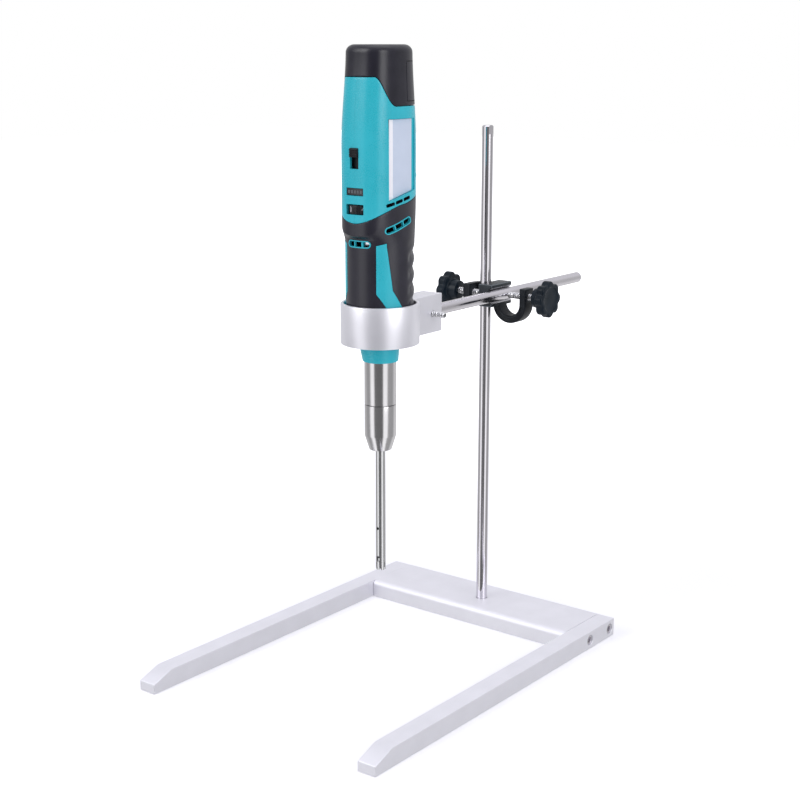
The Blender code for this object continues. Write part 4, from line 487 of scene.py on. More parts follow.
PART_ROW = row_tree()
bright_steel = polished_steel("bright_steel")
neck = LEG_SCREW_TOP - HEAD_TALL
cap_screw = [
    (0.0, neck - SHANK_LENGTH), (SHANK_RADIUS, neck - SHANK_LENGTH), (SHANK_RADIUS, neck),
    (HEAD_RADIUS - 0.0003, neck), (HEAD_RADIUS, neck + 0.0003), (HEAD_RADIUS, LEG_SCREW_TOP - 0.0006),
    (HEAD_RADIUS - 0.0002, LEG_SCREW_TOP - 0.0002), (HEAD_RADIUS - 0.0007, LEG_SCREW_TOP),
    (SOCKET_RADIUS + 0.0001, LEG_SCREW_TOP), (SOCKET_RADIUS, LEG_SCREW_TOP - 0.0002),
    (SOCKET_RADIUS, LEG_SCREW_TOP - SOCKET_DEPTH), (0.0, LEG_SCREW_TOP - SOCKET_DEPTH),
]
for side, tag in ((-1, "left"), (1, "right")):
    screws = solid("leg_screws_" + tag, lathe, cap_screw, 48, finish=bright_steel)
    grown(
        screws, PART_ROW, Count=2, First=(0.0, SCREW_SPOTS[0], BASE_THICK / 2),
        Step=(0.0, SCREW_SPOTS[1] - SCREW_SPOTS[0], 0.0), Turn=(0.0, side * math.pi / 2, 0.0),
        Finish=bright_steel,
    )
    nodes = ["leg_screw_%s_%s" % (tag, spot) for spot in ("back", "front")]
    fitted(screws, "base", nodes, 30.0)

# ---------------------------------------------------------------- stand rods
# Two lengths of 10 mm ground stainless bar. The upright is seated in the crossbar and
# has a short flat filed at its top; the arm is chamfered at both ends.
ROD_RADIUS = 0.005
SPIGOT_RADIUS = 0.004
SPIGOT_FOOT = 0.0043
SPIGOT_TOP = 0.012
UPRIGHT_TOP = 0.452
ARM_X = 0.015
ARM_Z = 0.304
ARM_NEAR = -0.130
ARM_FAR = 0.132

upright = solid("upright_bar", lathe, [
    (0.0, SPIGOT_FOOT), (SPIGOT_RADIUS, SPIGOT_FOOT), (SPIGOT_RADIUS, SPIGOT_TOP), (ROD_RADIUS, SPIGOT_TOP),
    (ROD_RADIUS, UPRIGHT_TOP - 0.0011), (ROD_RADIUS - 0.0009, UPRIGHT_TOP - 0.0001),
    (ROD_RADIUS - 0.0012, UPRIGHT_TOP), (0.0, UPRIGHT_TOP),
], 128, finish=bright_steel)
flat = (0.0036, -0.006, UPRIGHT_TOP - 0.0075), (0.012, 0.006, UPRIGHT_TOP + 0.002)
cut(upright, [solid("filed_flat", block, *flat)])
fitted(upright, "column", ["upright_rod"], 25.0)

arm_steel = polished_steel("arm_steel", low=0.12, high=0.18, lines=(40.0, 900.0, 40.0))
arm = solid("arm_bar", lathe, [
    (0.0, ARM_NEAR), (ROD_RADIUS - 0.001, ARM_NEAR), (ROD_RADIUS, ARM_NEAR + 0.001),
    (ROD_RADIUS, ARM_FAR - 0.001), (ROD_RADIUS - 0.0009, ARM_FAR - 0.0001), (ROD_RADIUS - 0.0011, ARM_FAR),
    (0.0, ARM_FAR),
], 128, Matrix.Translation((ARM_X, 0.0, ARM_Z)) @ Matrix.Rotation(-math.pi / 2, 4, "X"), finish=arm_steel)
fitted(arm, "arm", ["arm_rod"], 25.0)

# ---------------------------------------------------------------- boss head
# One black-coated die casting: two hooks at right angles on a square web. Its two V
# jaws and the tapped holes are machined after coating, so they show bare metal.
BOSS_LOW = 0.294
BOSS_HIGH = 0.314
BOSS_FRONT = -0.012
BOSS_BACK = 0.020
JAW_MIDDLE = 0.0075
JAW_HALF = 0.007
HOOK_WALL = 0.0066
COLUMN_HOOK_BORE = 0.0065
COLUMN_HOOK_TALL = 0.0164
COLUMN_HOOK_Y = 0.0035
ARM_HOOK_BORE = 0.01075
ARM_HOOK_Z = 0.297
ARM_HOOK_NEAR = -0.0005
ARM_HOOK_FAR = 0.0125
RELIEF_DEPTH = 0.0008
RELIEF_RIM = 0.0017
TAPPED_RADIUS = 0.0033
ARM_SCREW_Y = 0.006
EDGE_HIGHLIGHT_GREY = (0.24, 0.27, 0.30)


def coated_casting():
    """Satin black coating over cast metal: fine pebble, lighter on sharp edges as a painted edge highlight
    along with rubbed coating.
    """
    tones = ((0.005, 0.007, 0.010), (0.010, 0.013, 0.018))
    finish, tree, height, mottle, tone = grained("coated_casting", 0.8, 7.0, *tones)
    # Sharp edges found by pointiness turn towards grey metal: a painted highlight on the edges, partly
    # rubbed coating.
    edge = remap(tree, add_node(tree, "ShaderNodeNewGeometry").outputs["Pointiness"], 0.0, 1.0, 0.54, 0.62)
    highlit_edge_tone = mixed(tree, math_node(tree, "MULTIPLY", edge, 0.5), tone, EDGE_HIGHLIGHT_GREY)
    return skinned(finish, highlit_edge_tone, height, 0.30, 0.46, height, 0.05, shine=0.2)


def hook_outline(inner, leg, facets=40):
    """U open towards +Y of its own plane, with a round end and one longer leg."""
    outer = inner + HOOK_WALL
    turns = [math.pi * step / facets for step in range(facets + 1)]
    points = [(-outer, leg), (-inner, leg)]
    points += [(inner * math.cos(math.pi + turn), inner * math.sin(math.pi + turn)) for turn in turns]
    points += [(inner, 0.0), (outer, 0.0)]
    return points + [(outer * math.cos(-turn), outer * math.sin(-turn)) for turn in turns]


FACING_FRONT = frame_of((1, 0, 0), (0, 0, 1), (0, -1, 0))
coating = coated_casting()
machined = polished_steel("machined_jaw", (0.78, 0.79, 0.80), 0.22, 0.36)
web = (JAW_MIDDLE - JAW_HALF, BOSS_FRONT, BOSS_LOW), (JAW_MIDDLE + JAW_HALF, BOSS_BACK, BOSS_HIGH)
boss = solid("boss_casting", block, *web, finish=coating, bevel=0.0009)
place = Matrix.Translation((
    JAW_MIDDLE - JAW_HALF - COLUMN_HOOK_BORE, COLUMN_HOOK_Y, ARM_Z - COLUMN_HOOK_TALL / 2,
)) @ Matrix.Diagonal((1.0, -1.0, 1.0, 1.0))
outline = hook_outline(COLUMN_HOOK_BORE, 0.0115)
hooks = [
    solid("column_hook", prism, outline, COLUMN_HOOK_TALL, place, finish=coating, bevel=0.0012, steps=4)
]
hook_x = JAW_MIDDLE + JAW_HALF + ARM_HOOK_BORE
outline = [(-x, y) for x, y in hook_outline(ARM_HOOK_BORE, 0.0145)]
place = Matrix.Translation((hook_x, ARM_HOOK_FAR, ARM_HOOK_Z)) @ FACING_FRONT
depth = ARM_HOOK_FAR - ARM_HOOK_NEAR
hooks.append(solid("arm_hook", prism, outline, depth, place, finish=coating, bevel=0.0012, steps=4))
joined(boss, hooks)

# Shallow relief between the hook's rims, cut in both flat faces of the casting
cutters = []
inner, outer = ARM_HOOK_BORE + RELIEF_RIM, ARM_HOOK_BORE + HOOK_WALL - RELIEF_RIM
sweep = [2.6 * step / 40 for step in range(41)]
arc = [(outer * math.cos(angle), outer * math.sin(angle)) for angle in [-0.12 - turn for turn in sweep]]
arc += [(inner * math.cos(angle), inner * math.sin(angle)) for angle in [-2.72 + turn for turn in sweep]]
for near, far in (
    (ARM_HOOK_NEAR - 0.001, ARM_HOOK_NEAR + RELIEF_DEPTH),
    (ARM_HOOK_FAR - RELIEF_DEPTH, ARM_HOOK_FAR + 0.001),
):
    place = Matrix.Translation((hook_x, far, ARM_HOOK_Z)) @ FACING_FRONT
    relief = solid("hook_relief", prism, arc, far - near, place, finish=coating, bevel=0.0004, steps=2)
    cutters.append(relief)
cut(boss, cutters)


def v_groove(seat, clearance=0.0053, mouth=0.006):
    """Two flanks at right angles that hold a rod, open to one side."""
    reach = clearance * math.sqrt(2.0)
    return [
        (-seat * mouth, -(reach + mouth)), (seat * clearance, -(reach - clearance)),
        (seat * clearance, reach - clearance), (-seat * mouth, reach + mouth),
    ]


along_arm = Matrix.Translation((ARM_X, 0.04, ARM_Z)) @ FACING_FRONT
cut(boss, [
    solid("column_jaw", prism, v_groove(1.0), 0.04, Matrix.Translation((0.0, 0.0, 0.284)), finish=machined),
    solid("arm_jaw", prism, v_groove(-1.0), 0.08, along_arm, finish=machined),
    solid(
        "arm_hole", rod, TAPPED_RADIUS, (0.0350, ARM_SCREW_Y, ARM_Z), (0.0440, ARM_SCREW_Y, ARM_Z), 40,
        finish=machined,
    ),
    solid(
        "column_hole", rod, TAPPED_RADIUS, (-0.0205, 0.0, ARM_Z), (-0.0115, 0.0, ARM_Z), 40,
        finish=machined,
    ),
])
fitted(boss, "boss", ["boss_head"], 28.0)

# ---------------------------------------------------------------- clamp screws
# Bright 6 mm studs with a rolled thread, run through the tapped lugs of the boss head.
# A node tree winds the thread round the stud and lays it along its hole.
STUD_CORE = 0.00255
THREAD_PITCH = 0.001
THREAD_RIDGE = 0.00042
ARM_KNOB_X = 0.04910
COLUMN_KNOB_X = 0.02810
KNOB_BORE = 0.010
STUD_END = KNOB_BORE - 0.0003


def thread_tree():
    """Node tree: a ridge wound round the incoming core, then the whole turned and put in place."""
    tree, given, out = new_tree("stud_thread", "GeometryNodeTree", {
        "Core": "Geometry", "Turns": "Float", "Length": "Float", "Start": "Vector", "Radius": "Float",
        "Ridge": "Float", "Place": "Vector", "Turn": "Rotation", "Finish": "Material",
    }, {"Geometry": "Geometry"})
    helix = add_node(tree, "GeometryNodeCurveSpiral", {
        "Resolution": 28, "Rotations": given["Turns"], "Start Radius": given["Radius"],
        "End Radius": given["Radius"], "Height": given["Length"],
    })
    raised = add_node(tree, "GeometryNodeSetPosition", {0: helix.outputs[0], "Offset": given["Start"]})
    tooth = add_node(tree, "GeometryNodeCurvePrimitiveCircle", {"Resolution": 6, "Radius": given["Ridge"]})
    ridge = add_node(
        tree, "GeometryNodeCurveToMesh", {0: raised.outputs[0], 1: tooth.outputs[0], "Fill Caps": True}
    )
    both = tree.nodes.new("GeometryNodeJoinGeometry")
    tree.links.new(ridge.outputs[0], both.inputs[0])
    tree.links.new(given["Core"], both.inputs[0])
    real = add_node(tree, "GeometryNodeRealizeInstances", {0: both.outputs[0]})
    laid = add_node(tree, "GeometryNodeTransform", {
        0: real.outputs[0], "Translation": given["Place"], "Rotation": given["Turn"],
    })
    skin = add_node(tree, "GeometryNodeSetMaterial", {0: laid.outputs[0], "Material": given["Finish"]})
    tree.links.new(skin.outputs[0], out[0])
    return tree


THREAD = thread_tree()
stud_steel = polished_steel("stud_steel", (0.74, 0.74, 0.76), 0.14, 0.26)
for name, tip, end, y, turn, body in (
    ("arm", 0.0203, ARM_KNOB_X + STUD_END, ARM_SCREW_Y, math.pi / 2, "arm_screw"),
    ("column", 0.0053, COLUMN_KNOB_X + STUD_END, 0.0, -math.pi / 2, "column_screw"),
):
    core = [(0.0, tip), (0.0016, tip), (STUD_CORE, tip + 0.0011), (STUD_CORE, end), (0.0, end)]
    stud = solid(name + "_stud", lathe, core, 48, finish=stud_steel)
    length = end - tip - 0.002
    grown(
        stud, THREAD, Turns=length / THREAD_PITCH, Length=length, Start=(0.0, 0.0, tip + 0.0014),
        Radius=STUD_CORE, Ridge=THREAD_RIDGE, Place=(0.0, y, ARM_Z), Turn=(0.0, turn, 0.0),
        Finish=stud_steel,
    )
    fitted(stud, body, [name + "_clamp_screw"])

# ---------------------------------------------------------------- star knobs
# Eight-lobed knobs moulded in satin black plastic on the ends of the studs, with a
# plain neck, rounded lobes and a shallow round panel in the outer face.
KNOB_RADIUS = 0.016
KNOB_LOBES = 8
KNOB_LOBE_DEPTH = 0.0021
KNOB_TALL = 0.016
KNOB_RIM = 0.0016
KNOB_NECK = 0.008
KNOB_NECK_RADIUS = 0.0095
KNOB_FILLET = 0.0012
KNOB_STEPS = 256


def moulded_plastic(name, dark, light, low, high, grain_mm=0.5, relief_mm=0.02, patch_mm=14.0, shine=0.5):
    """Moulded thermoplastic: fine spark texture with a slow drift of tone and gloss."""
    finish, tree, height, mottle, tone = grained(name, grain_mm, patch_mm, dark, light)
    gloss = math_node(tree, "MULTIPLY_ADD", height, 0.5, math_node(tree, "MULTIPLY", mottle, 0.5))
    return skinned(finish, tone, gloss, low, high, height, relief_mm, shine=shine)


def bridged(bm, rings, closed=True):
    """Walls between rings of points, which close on themselves or are left open."""
    for low, high in zip(rings, rings[1:]):
        for index in range(len(low) if closed else len(low) - 1):
            other = (index + 1) % len(low)
            bm.faces.new((low[index], low[other], high[other], high[index]))


def stacked(bm, loops, capped=True):
    """Skin over a stack of loops of points, with flat ends, or joined first to last."""
    rings = [[bm.verts.new(point) for point in loop] for loop in loops]
    bridged(bm, rings if capped else rings + rings[:1])
    if capped:
        bm.faces.new(rings[0][::-1])
        bm.faces.new(rings[-1])


def quarter(steps, first=0):
    """Pairs of (1 - sin, 1 - cos) over a quarter turn."""
    turns = [math.pi / 2 * step / steps for step in range(first, steps + 1)]
    return [(1.0 - math.sin(turn), 1.0 - math.cos(turn)) for turn in turns]


def knob_loops(place):
    """Loops of the knob from neck to face; the third value says how deep the lobes go there."""
    under = KNOB_NECK - KNOB_FILLET
    profile = [
        (KNOB_NECK_RADIUS - 0.0016, 0.0, 0.0), (KNOB_NECK_RADIUS - 0.001, 0.0004, 0.0),
        (KNOB_NECK_RADIUS - 0.0002, under, 0.0),
    ]
    for near, far in quarter(6):
        profile.append((KNOB_NECK_RADIUS + KNOB_FILLET * far, under + KNOB_FILLET * (1.0 - near), 0.0))
    profile.append((KNOB_NECK_RADIUS + 0.0030, KNOB_NECK, 0.35))
    profile += [(KNOB_RADIUS - KNOB_RIM * near, KNOB_NECK + KNOB_RIM * far, 1.0) for near, far in quarter(8)]
    profile += [(KNOB_RADIUS - KNOB_RIM * far, KNOB_TALL - KNOB_RIM * near, 1.0) for near, far in quarter(8)]
    profile += [
        (0.0126, KNOB_TALL, 0.7), (0.0116, KNOB_TALL, 0.3), (0.0111, KNOB_TALL - 0.0001, 0.0),
        (0.0107, KNOB_TALL - 0.00045, 0.0), (0.0103, KNOB_TALL - 0.00055, 0.0),
        (0.005, KNOB_TALL - 0.0004, 0.0),
    ]
    for radius, height, lobed in profile:
        loop = []
        for index in range(KNOB_STEPS):
            angle = math.tau * index / KNOB_STEPS
            wave = KNOB_LOBE_DEPTH * (0.5 - 0.5 * math.cos(KNOB_LOBES * angle)) ** 1.5 * lobed
            reach = radius - wave
            loop.append(place @ Vector((reach * math.cos(angle), reach * math.sin(angle), height)))
        yield loop


knob_plastic = moulded_plastic(
    "knob_plastic", (0.006, 0.011, 0.017), (0.010, 0.017, 0.026), 0.26, 0.38, 0.6, 0.012, shine=0.16
)
for name, spot, turn in (
    ("arm", (ARM_KNOB_X, ARM_SCREW_Y, ARM_Z), math.pi / 2),
    ("column", (-COLUMN_KNOB_X, 0.0, ARM_Z), -math.pi / 2),
):
    place = Matrix.Translation(spot) @ Matrix.Rotation(turn, 4, "Y")
    knob = solid(name + "_star_knob", stacked, knob_loops(place), finish=knob_plastic)
    bore = (place @ Vector((0.0, 0.0, -0.001)), place @ Vector((0.0, 0.0, KNOB_BORE)))
    cut(knob, [solid("stud_bore", rod, TAPPED_RADIUS, *bore, 40)])
    fitted(knob, name + "_knob", [name + "_clamp_knob"], 40.0)

# ---------------------------------------------------------------- ring holder
# Turned aluminium ring with a lip inside that the homogenizer's grip stands on, and a
# milled block, bored for the arm and tapped across for a set screw.
TOOL_X = 0.015
TOOL_Y = -0.170
RING_OUTER = 0.0318
RING_INNER = 0.0290
RING_LOW = 0.2875
RING_HIGH = 0.3205
RING_EDGE = 0.0007
RING_LIP = 0.0055
RING_LIP_RADIUS = 0.021
BLOCK_HALF = 0.010
BLOCK_BACK = -0.100
BLOCK_EDGE = 0.0006
SET_SCREW_Y = -0.1125
SET_SCREW_CORE = 0.0020
SET_THREAD_LENGTH = 0.0160
SET_THREAD_PITCH = 0.0008

turned_aluminium = satin_aluminium("turned_aluminium", 0.36, 0.48)
nib = RING_EDGE * 0.3
ring = solid("ring_and_block", lathe, [
    (RING_LIP_RADIUS, RING_LOW), (RING_OUTER - RING_EDGE, RING_LOW), (RING_OUTER - nib, RING_LOW + nib),
    (RING_OUTER, RING_LOW + RING_EDGE), (RING_OUTER, RING_HIGH - RING_EDGE),
    (RING_OUTER - nib, RING_HIGH - nib), (RING_OUTER - RING_EDGE, RING_HIGH),
    (RING_INNER + 0.0004, RING_HIGH), (RING_INNER, RING_HIGH - 0.0004),
    (RING_INNER, RING_LOW + RING_LIP), (RING_LIP_RADIUS, RING_LOW + RING_LIP),
], 256, Matrix.Translation((TOOL_X, TOOL_Y, 0.0)), finish=turned_aluminium)
joined(ring, [solid(
    "clamp_block", block, (TOOL_X - BLOCK_HALF, TOOL_Y + 0.03012, RING_LOW + BLOCK_EDGE),
    (TOOL_X + BLOCK_HALF, BLOCK_BACK, RING_HIGH - BLOCK_EDGE), finish=turned_aluminium, bevel=BLOCK_EDGE,
)])
bore = (ROD_RADIUS + 0.0002, (ARM_X, ARM_NEAR - 0.0003, ARM_Z), (ARM_X, BLOCK_BACK + 0.001, ARM_Z), 96)
tapped = (0.0027, (ARM_X + 0.003, SET_SCREW_Y, ARM_Z), (ARM_X + 0.011, SET_SCREW_Y, ARM_Z), 48)
cut(ring, [
    solid("arm_bore", rod, *bore, finish=turned_aluminium),
    solid("tapped_hole", rod, *tapped, finish=turned_aluminium),
])
fitted(ring, "ring", ["ring_holder"], 30.0)

set_screw = solid("set_stud", lathe, [
    (0.0, 0.0053), (0.0015, 0.0053), (SET_SCREW_CORE, 0.0058), (SET_SCREW_CORE, 0.0220), (0.0017, 0.0224),
    (0.0013, 0.0225), (0.0012, 0.0224), (0.0012, 0.0195), (0.0, 0.0195),
], 48, finish=stud_steel)
grown(
    set_screw, THREAD, Turns=SET_THREAD_LENGTH / SET_THREAD_PITCH, Length=SET_THREAD_LENGTH,
    Start=(0.0, 0.0, 0.0060), Radius=SET_SCREW_CORE, Ridge=0.00038, Place=(ARM_X, SET_SCREW_Y, ARM_Z),
    Turn=(0.0, math.pi / 2, 0.0), Finish=stud_steel,
)
fitted(set_screw, "set_screw", ["ring_set_screw"])

# ---------------------------------------------------------------- grip halves
# Two moulded halves of charcoal glass-filled nylon with a matt skin, screwed together.
# The back is ribbed for the fingers and a shoulder at the foot sits in the ring.
SEAT_HEIGHT = 0.2933
TOOL = Matrix.Translation((TOOL_X, TOOL_Y, SEAT_HEIGHT))
TOOL_TOP = 0.2275
SHELL_WALL = 0.0025
SHELL_EDGE = 0.0005
PART_LINE = 0.00003
GRIP_RADIUS = 0.02725
CROWN_START = 0.150
SHOULDER = 0.0027
SHOULDER_HOLE = 0.019
SEAM_GAP = 0.00013
HALF_COLUMNS = 140
RIDGE_LOW = 0.018
RIDGE_HIGH = 0.080
RIDGE_CREST = 0.0755
RIDGE_PITCH = 0.0127
RIDGE_DEPTH = 0.0013
STRIP_TOP = 0.0755
STRIP_BEND = 0.0375
STRIP_BEND_BACK = 0.0401
STRIP_FRONT = -0.023
STRIP_BACK = -0.0135
VENT_TILT = math.radians(16.0)
SIDE_VENT = (-0.0056, 0.0905, 0.0298, 0.0058)
FRONT_VENT = (0.0, 0.0763, 0.0220, 0.0058)
CUT_THROUGH = 0.03
SHELL_SCREWS = (
    (-0.0205, 0.0120, 0.01174), (0.0205, 0.0120, 0.01174),
    (-0.0190, 0.1275, 0.01745), (0.0190, 0.1275, 0.01662),
)


def ease(value):
    value = min(1.0, max(0.0, value))
    return value * value * (3.0 - 2.0 * value)


def between(first, second, share):
    return first + (second - first) * share


def grip_seam(angle):
    """Joint between grip and housing, rising towards the back."""
    return 0.0925 + 0.022 * math.sin(abs(angle) / 2) ** 1.3


def body_skin(angle, height, offset=0.0):
    """Outer skin of the hand-held tool: round at the foot, a soft rounded box higher up."""
    crown = ease((height - CROWN_START) / (TOOL_TOP - CROWN_START))
    width = between(0.0238, 0.0215, crown) + offset
    depth = between(0.0306, 0.0262, crown) + offset
    shift = between(0.0008, 0.0, crown)
    across, along = math.sin(angle), math.cos(angle)
    upper_x = math.copysign(abs(across) ** (2 / 2.7), across) * width
    upper_y = -math.copysign(abs(along) ** (2 / 2.7), along) * depth - shift
    front = ((1.0 + along) / 2) ** 2
    low = between(0.060, 0.0800, front)
    high = between(0.108, 0.0835, front)
    share = ease((height - low) / (high - low))
    radius = GRIP_RADIUS + offset
    return between(radius * across, upper_x, share), between(-radius * along, upper_y, share)


def on_skin(angle, height, offset=0.0):
    x, y = body_skin(angle, height, offset)
    return TOOL @ Vector((x, y, height))


def ridge_sink(angle, height):
    """Depth of the valleys between the finger ridges, which slope down round the flanks."""
    if not RIDGE_LOW < height < RIDGE_HIGH:
        return 0.0
    side = ease((abs(angle) - math.radians(90.0)) / math.radians(14.0))
    slope = 0.3 * GRIP_RADIUS * (abs(angle) - math.radians(128.0))
    phase = (height - slope - RIDGE_CREST) / RIDGE_PITCH
    ends = ease((height - RIDGE_LOW) / RIDGE_PITCH) * ease((RIDGE_HIGH - height) / RIDGE_PITCH)
    return RIDGE_DEPTH * side * ends * (0.5 - 0.5 * math.cos(math.tau * phase))


def half_ring(side, height_of, offset, limit=0.1, ridged=False):
    """Points of one half's skin from the front parting line round to the back one."""
    ring = []
    for column in range(HALF_COLUMNS + 1):
        angle = side * math.pi * column / HALF_COLUMNS
        height = height_of(angle)
        x, y = body_skin(angle, height, offset - (ridge_sink(angle, height) if ridged else 0.0))
        ring.append(Vector((side * min(max(abs(x), PART_LINE), limit), y, height)))
    return ring


def half_stack(side, low_of, high_of, shares, ridged=False):
    """Outside rings of one half between two seams, rolled over at both rims."""
    def ring_at(share, rise, tuck):
        def height_of(angle):
            return between(low_of(angle) + SHELL_EDGE, high_of(angle) - SHELL_EDGE, share) + rise
        return half_ring(side, height_of, -tuck, 0.1, ridged)

    rolls = [(SHELL_EDGE * near, SHELL_EDGE * (1.0 - far)) for near, far in quarter(4)]
    rings = [ring_at(0.0, -drop, tuck) for tuck, drop in rolls]
    rings += [ring_at(share, 0.0, 0.0) for share in shares]
    return rings + [ring_at(1.0, rise, tuck) for tuck, rise in rolls[::-1]]


def half_shell(bm, outside, inside):
    """Closed wall of one half, with flat faces on the parting plane."""
    rings = [[bm.verts.new(TOOL @ point) for point in ring] for ring in outside + inside[::-1]]
    bridged(bm, rings + rings[:1], False)
    for end in (0, -1):
        bm.faces.new([ring[end] for ring in rings])


def skin_angle(y, height):
    """Angle from the front at which the skin passes a given depth, by halving."""
    low, high = 0.0, math.pi
    for step in range(34):
        middle = (low + high) / 2
        if body_skin(middle, height)[1] < y:
            low = middle
        else:
            high = middle
    return low


def skin_patch(bm, side, outline_of, wide, tall, lift, depth, edge):
    """Inlay laid on the skin: outline_of(u, v) gives (y, height), the rim is rolled over."""
    patch_wide, patch_tall = 0.010, 0.070

    def offset_at(inset):
        if inset >= edge:
            return lift
        return lift - edge + math.sqrt(max(0.0, edge * edge - (edge - inset) ** 2))

    def spread(count, size):
        rim = [edge / size * (1.0 - math.cos(math.pi / 2 * step / 4)) for step in range(4)]
        plain = [edge / size + (1.0 - 2 * edge / size) * step / count for step in range(count + 1)]
        return rim + plain + [1.0 - share for share in rim[::-1]]

    us, vs = spread(wide, patch_wide), spread(tall, patch_tall)
    tops, roots = [], []
    for v in vs:
        tops.append([])
        roots.append([])
        for u in us:
            y, height = outline_of(u, v)
            angle = side * skin_angle(y, height)
            inset = min(min(u, 1.0 - u) * patch_wide, min(v, 1.0 - v) * patch_tall)
            for grid, offset in ((tops, offset_at(inset)), (roots, -depth)):
                grid[-1].append(bm.verts.new(on_skin(angle, height, offset)))
    for row in range(len(vs) - 1):
        for column in range(len(us) - 1):
            for grid, turn in ((tops, 1), (roots, -1)):
                corners = grid[row][column:column + 2] + grid[row + 1][column:column + 2][::-1]
                bm.faces.new(corners[::turn])
    loop = [(0, column) for column in range(len(us))] + [(row, len(us) - 1) for row in range(1, len(vs))]
    loop += [(len(vs) - 1, column) for column in range(len(us) - 2, -1, -1)]
    loop += [(row, 0) for row in range(len(vs) - 2, 0, -1)]
    for (row, column), (next_row, next_column) in zip(loop, loop[1:] + loop[:1]):
        bm.faces.new((
            tops[row][column], roots[row][column], roots[next_row][next_column], tops[next_row][next_column],
        ))


def strip_outline(u, v, grow=0.0):
    """Accent strip on a flank: a tall tapered bar whose foot kicks towards the back."""
    foot = SHOULDER + 0.004 - grow
    height = between(foot, STRIP_TOP + 0.002 * u + grow, v)
    front = STRIP_FRONT + 0.0146 * max(0.0, (STRIP_BEND - height) / (STRIP_BEND - foot))
    if height > STRIP_BEND_BACK:
        back = between(STRIP_BACK, -0.0178, (height - STRIP_BEND_BACK) / (0.0775 - STRIP_BEND_BACK))
    else:
        back = STRIP_BACK + 0.0195 * (STRIP_BEND_BACK - height) / (STRIP_BEND_BACK - foot)
    return between(front - grow, back + grow, u), height


def tilted(points, centre, tilt):
    """Outline turned about its own middle and moved to a centre."""
    along, rise = math.cos(tilt), math.sin(tilt)
    return [(centre[0] + u * along - v * rise, centre[1] + u * rise + v * along) for u, v in points]


def stadium(length, tall, centre, tilt=0.0, facets=24):
    """Slot outline with round ends."""
    radius = tall / 2
    reach = length / 2 - radius
    points = []
    for end, first in ((1, -math.pi / 2), (-1, math.pi / 2)):
        for step in range(facets + 1):
            angle = first + math.pi * step / facets
            points.append((end * reach + radius * math.cos(angle), radius * math.sin(angle)))
    return tilted(points, centre, tilt)


def through_flank(side, near=0.010):
    """Frame for a prism that runs outwards along X over an outline in (y, height)."""
    return TOOL @ frame_of((0, 1, 0), (0, 0, 1), (side, 0, 0), (side * near, 0, 0))


def through_front(near=0.018):
    """Frame for a prism that runs forwards over an outline in (x, height)."""
    return TOOL @ frame_of((1, 0, 0), (0, 0, 1), (0, -1, 0), (0, -near, 0))


def screw_cutters(piece, side, first):
    """Joins the screw bosses to a half and gives back the cutters for holes and head seats."""
    cutters = []
    for y, height, depth in SHELL_SCREWS[first:first + 2]:
        def spot(x):
            return TOOL @ Vector((x, y, height))

        post = (0.0037, spot(side * 0.0003), spot(side * (depth + 0.0024)), 36)
        joined(piece, [solid("screw_boss", rod, *post)])
        bm = bmesh.new()
        rod(bm, 0.0015, spot(side * -0.001), spot(0.0078 if side > 0 else side * (depth + 0.0003)), 32)
        if side < 0:
            rod(bm, 0.0029, spot(side * depth), spot(side * 0.05), 40)
        cutters.append(finished("screw_hole", bm))
    return cutters


def prisms(bm, outlines, place):
    """Several prisms in one cutter."""
    for outline in outlines:
        prism(bm, outline, CUT_THROUGH, place)


def vent_seat(vent, tilt=0.0):
    y, height, length, tall = vent
    return stadium(length + 0.0002, tall + 0.0002, (y, height), tilt)


def foot_of(angle):
    return 0.0


def rim_of(angle):
    return grip_seam(angle) - SEAM_GAP


grip_plastic = moulded_plastic(
    "grip_plastic", (0.0125, 0.0115, 0.021), (0.018, 0.017, 0.029), 0.29, 0.38, 0.45, 0.02, shine=0.55
)
housing_plastic = moulded_plastic(
    "housing_plastic", (0.024, 0.435, 0.525), (0.031, 0.480, 0.580), 0.24, 0.34, 0.8, 0.008, 30.0, 0.40
)
shares = [0.84 * row / 84 for row in range(1, 84)] + [0.84 + 0.09 * row / 30 for row in range(31)]
shares += [0.93 + 0.07 * row / 6 for row in range(1, 6)]
half_turn = [math.pi * column / HALF_COLUMNS for column in range(HALF_COLUMNS + 1)]
for side, tag in ((1, "right"), (-1, "left")):
    inside = []
    for height in (0.0, SHOULDER):
        inside.append([
            Vector((
                side * max(PART_LINE, SHOULDER_HOLE * math.sin(angle)),
                -SHOULDER_HOLE * math.cos(angle), height,
            ))
            for angle in half_turn
        ])
    for row in range(9):
        inside.append(half_ring(
            side, lambda angle: between(SHOULDER, rim_of(angle), row / 8), -SHELL_WALL, 0.0242
        ))
    outside = half_stack(side, foot_of, rim_of, shares, True)
    grip = solid("grip_half_" + tag, half_shell, outside, inside, finish=grip_plastic)
    seat = (side, lambda u, v: strip_outline(u, v, 0.00015), 12, 60, 0.004, 0.0014, 0.0001)
    strip_seat = solid("strip_seat", skin_patch, *seat)
    bm = bmesh.new()
    prisms(bm, [vent_seat(SIDE_VENT, VENT_TILT)], through_flank(side))
    prisms(bm, [vent_seat(FRONT_VENT)], through_front())
    cut(grip, screw_cutters(grip, side, 0) + [strip_seat, finished("vent_seats", bm)])
    fitted(grip, "tool", ["grip_" + tag], 32.0)
    inlay = (side, strip_outline, 16, 70, 0.0003, 0.0013, 0.0004)
    strip = solid("accent_strip_piece_" + tag, skin_patch, *inlay, finish=housing_plastic)
    fitted(strip, "tool", ["accent_strip_" + tag], 50.0)

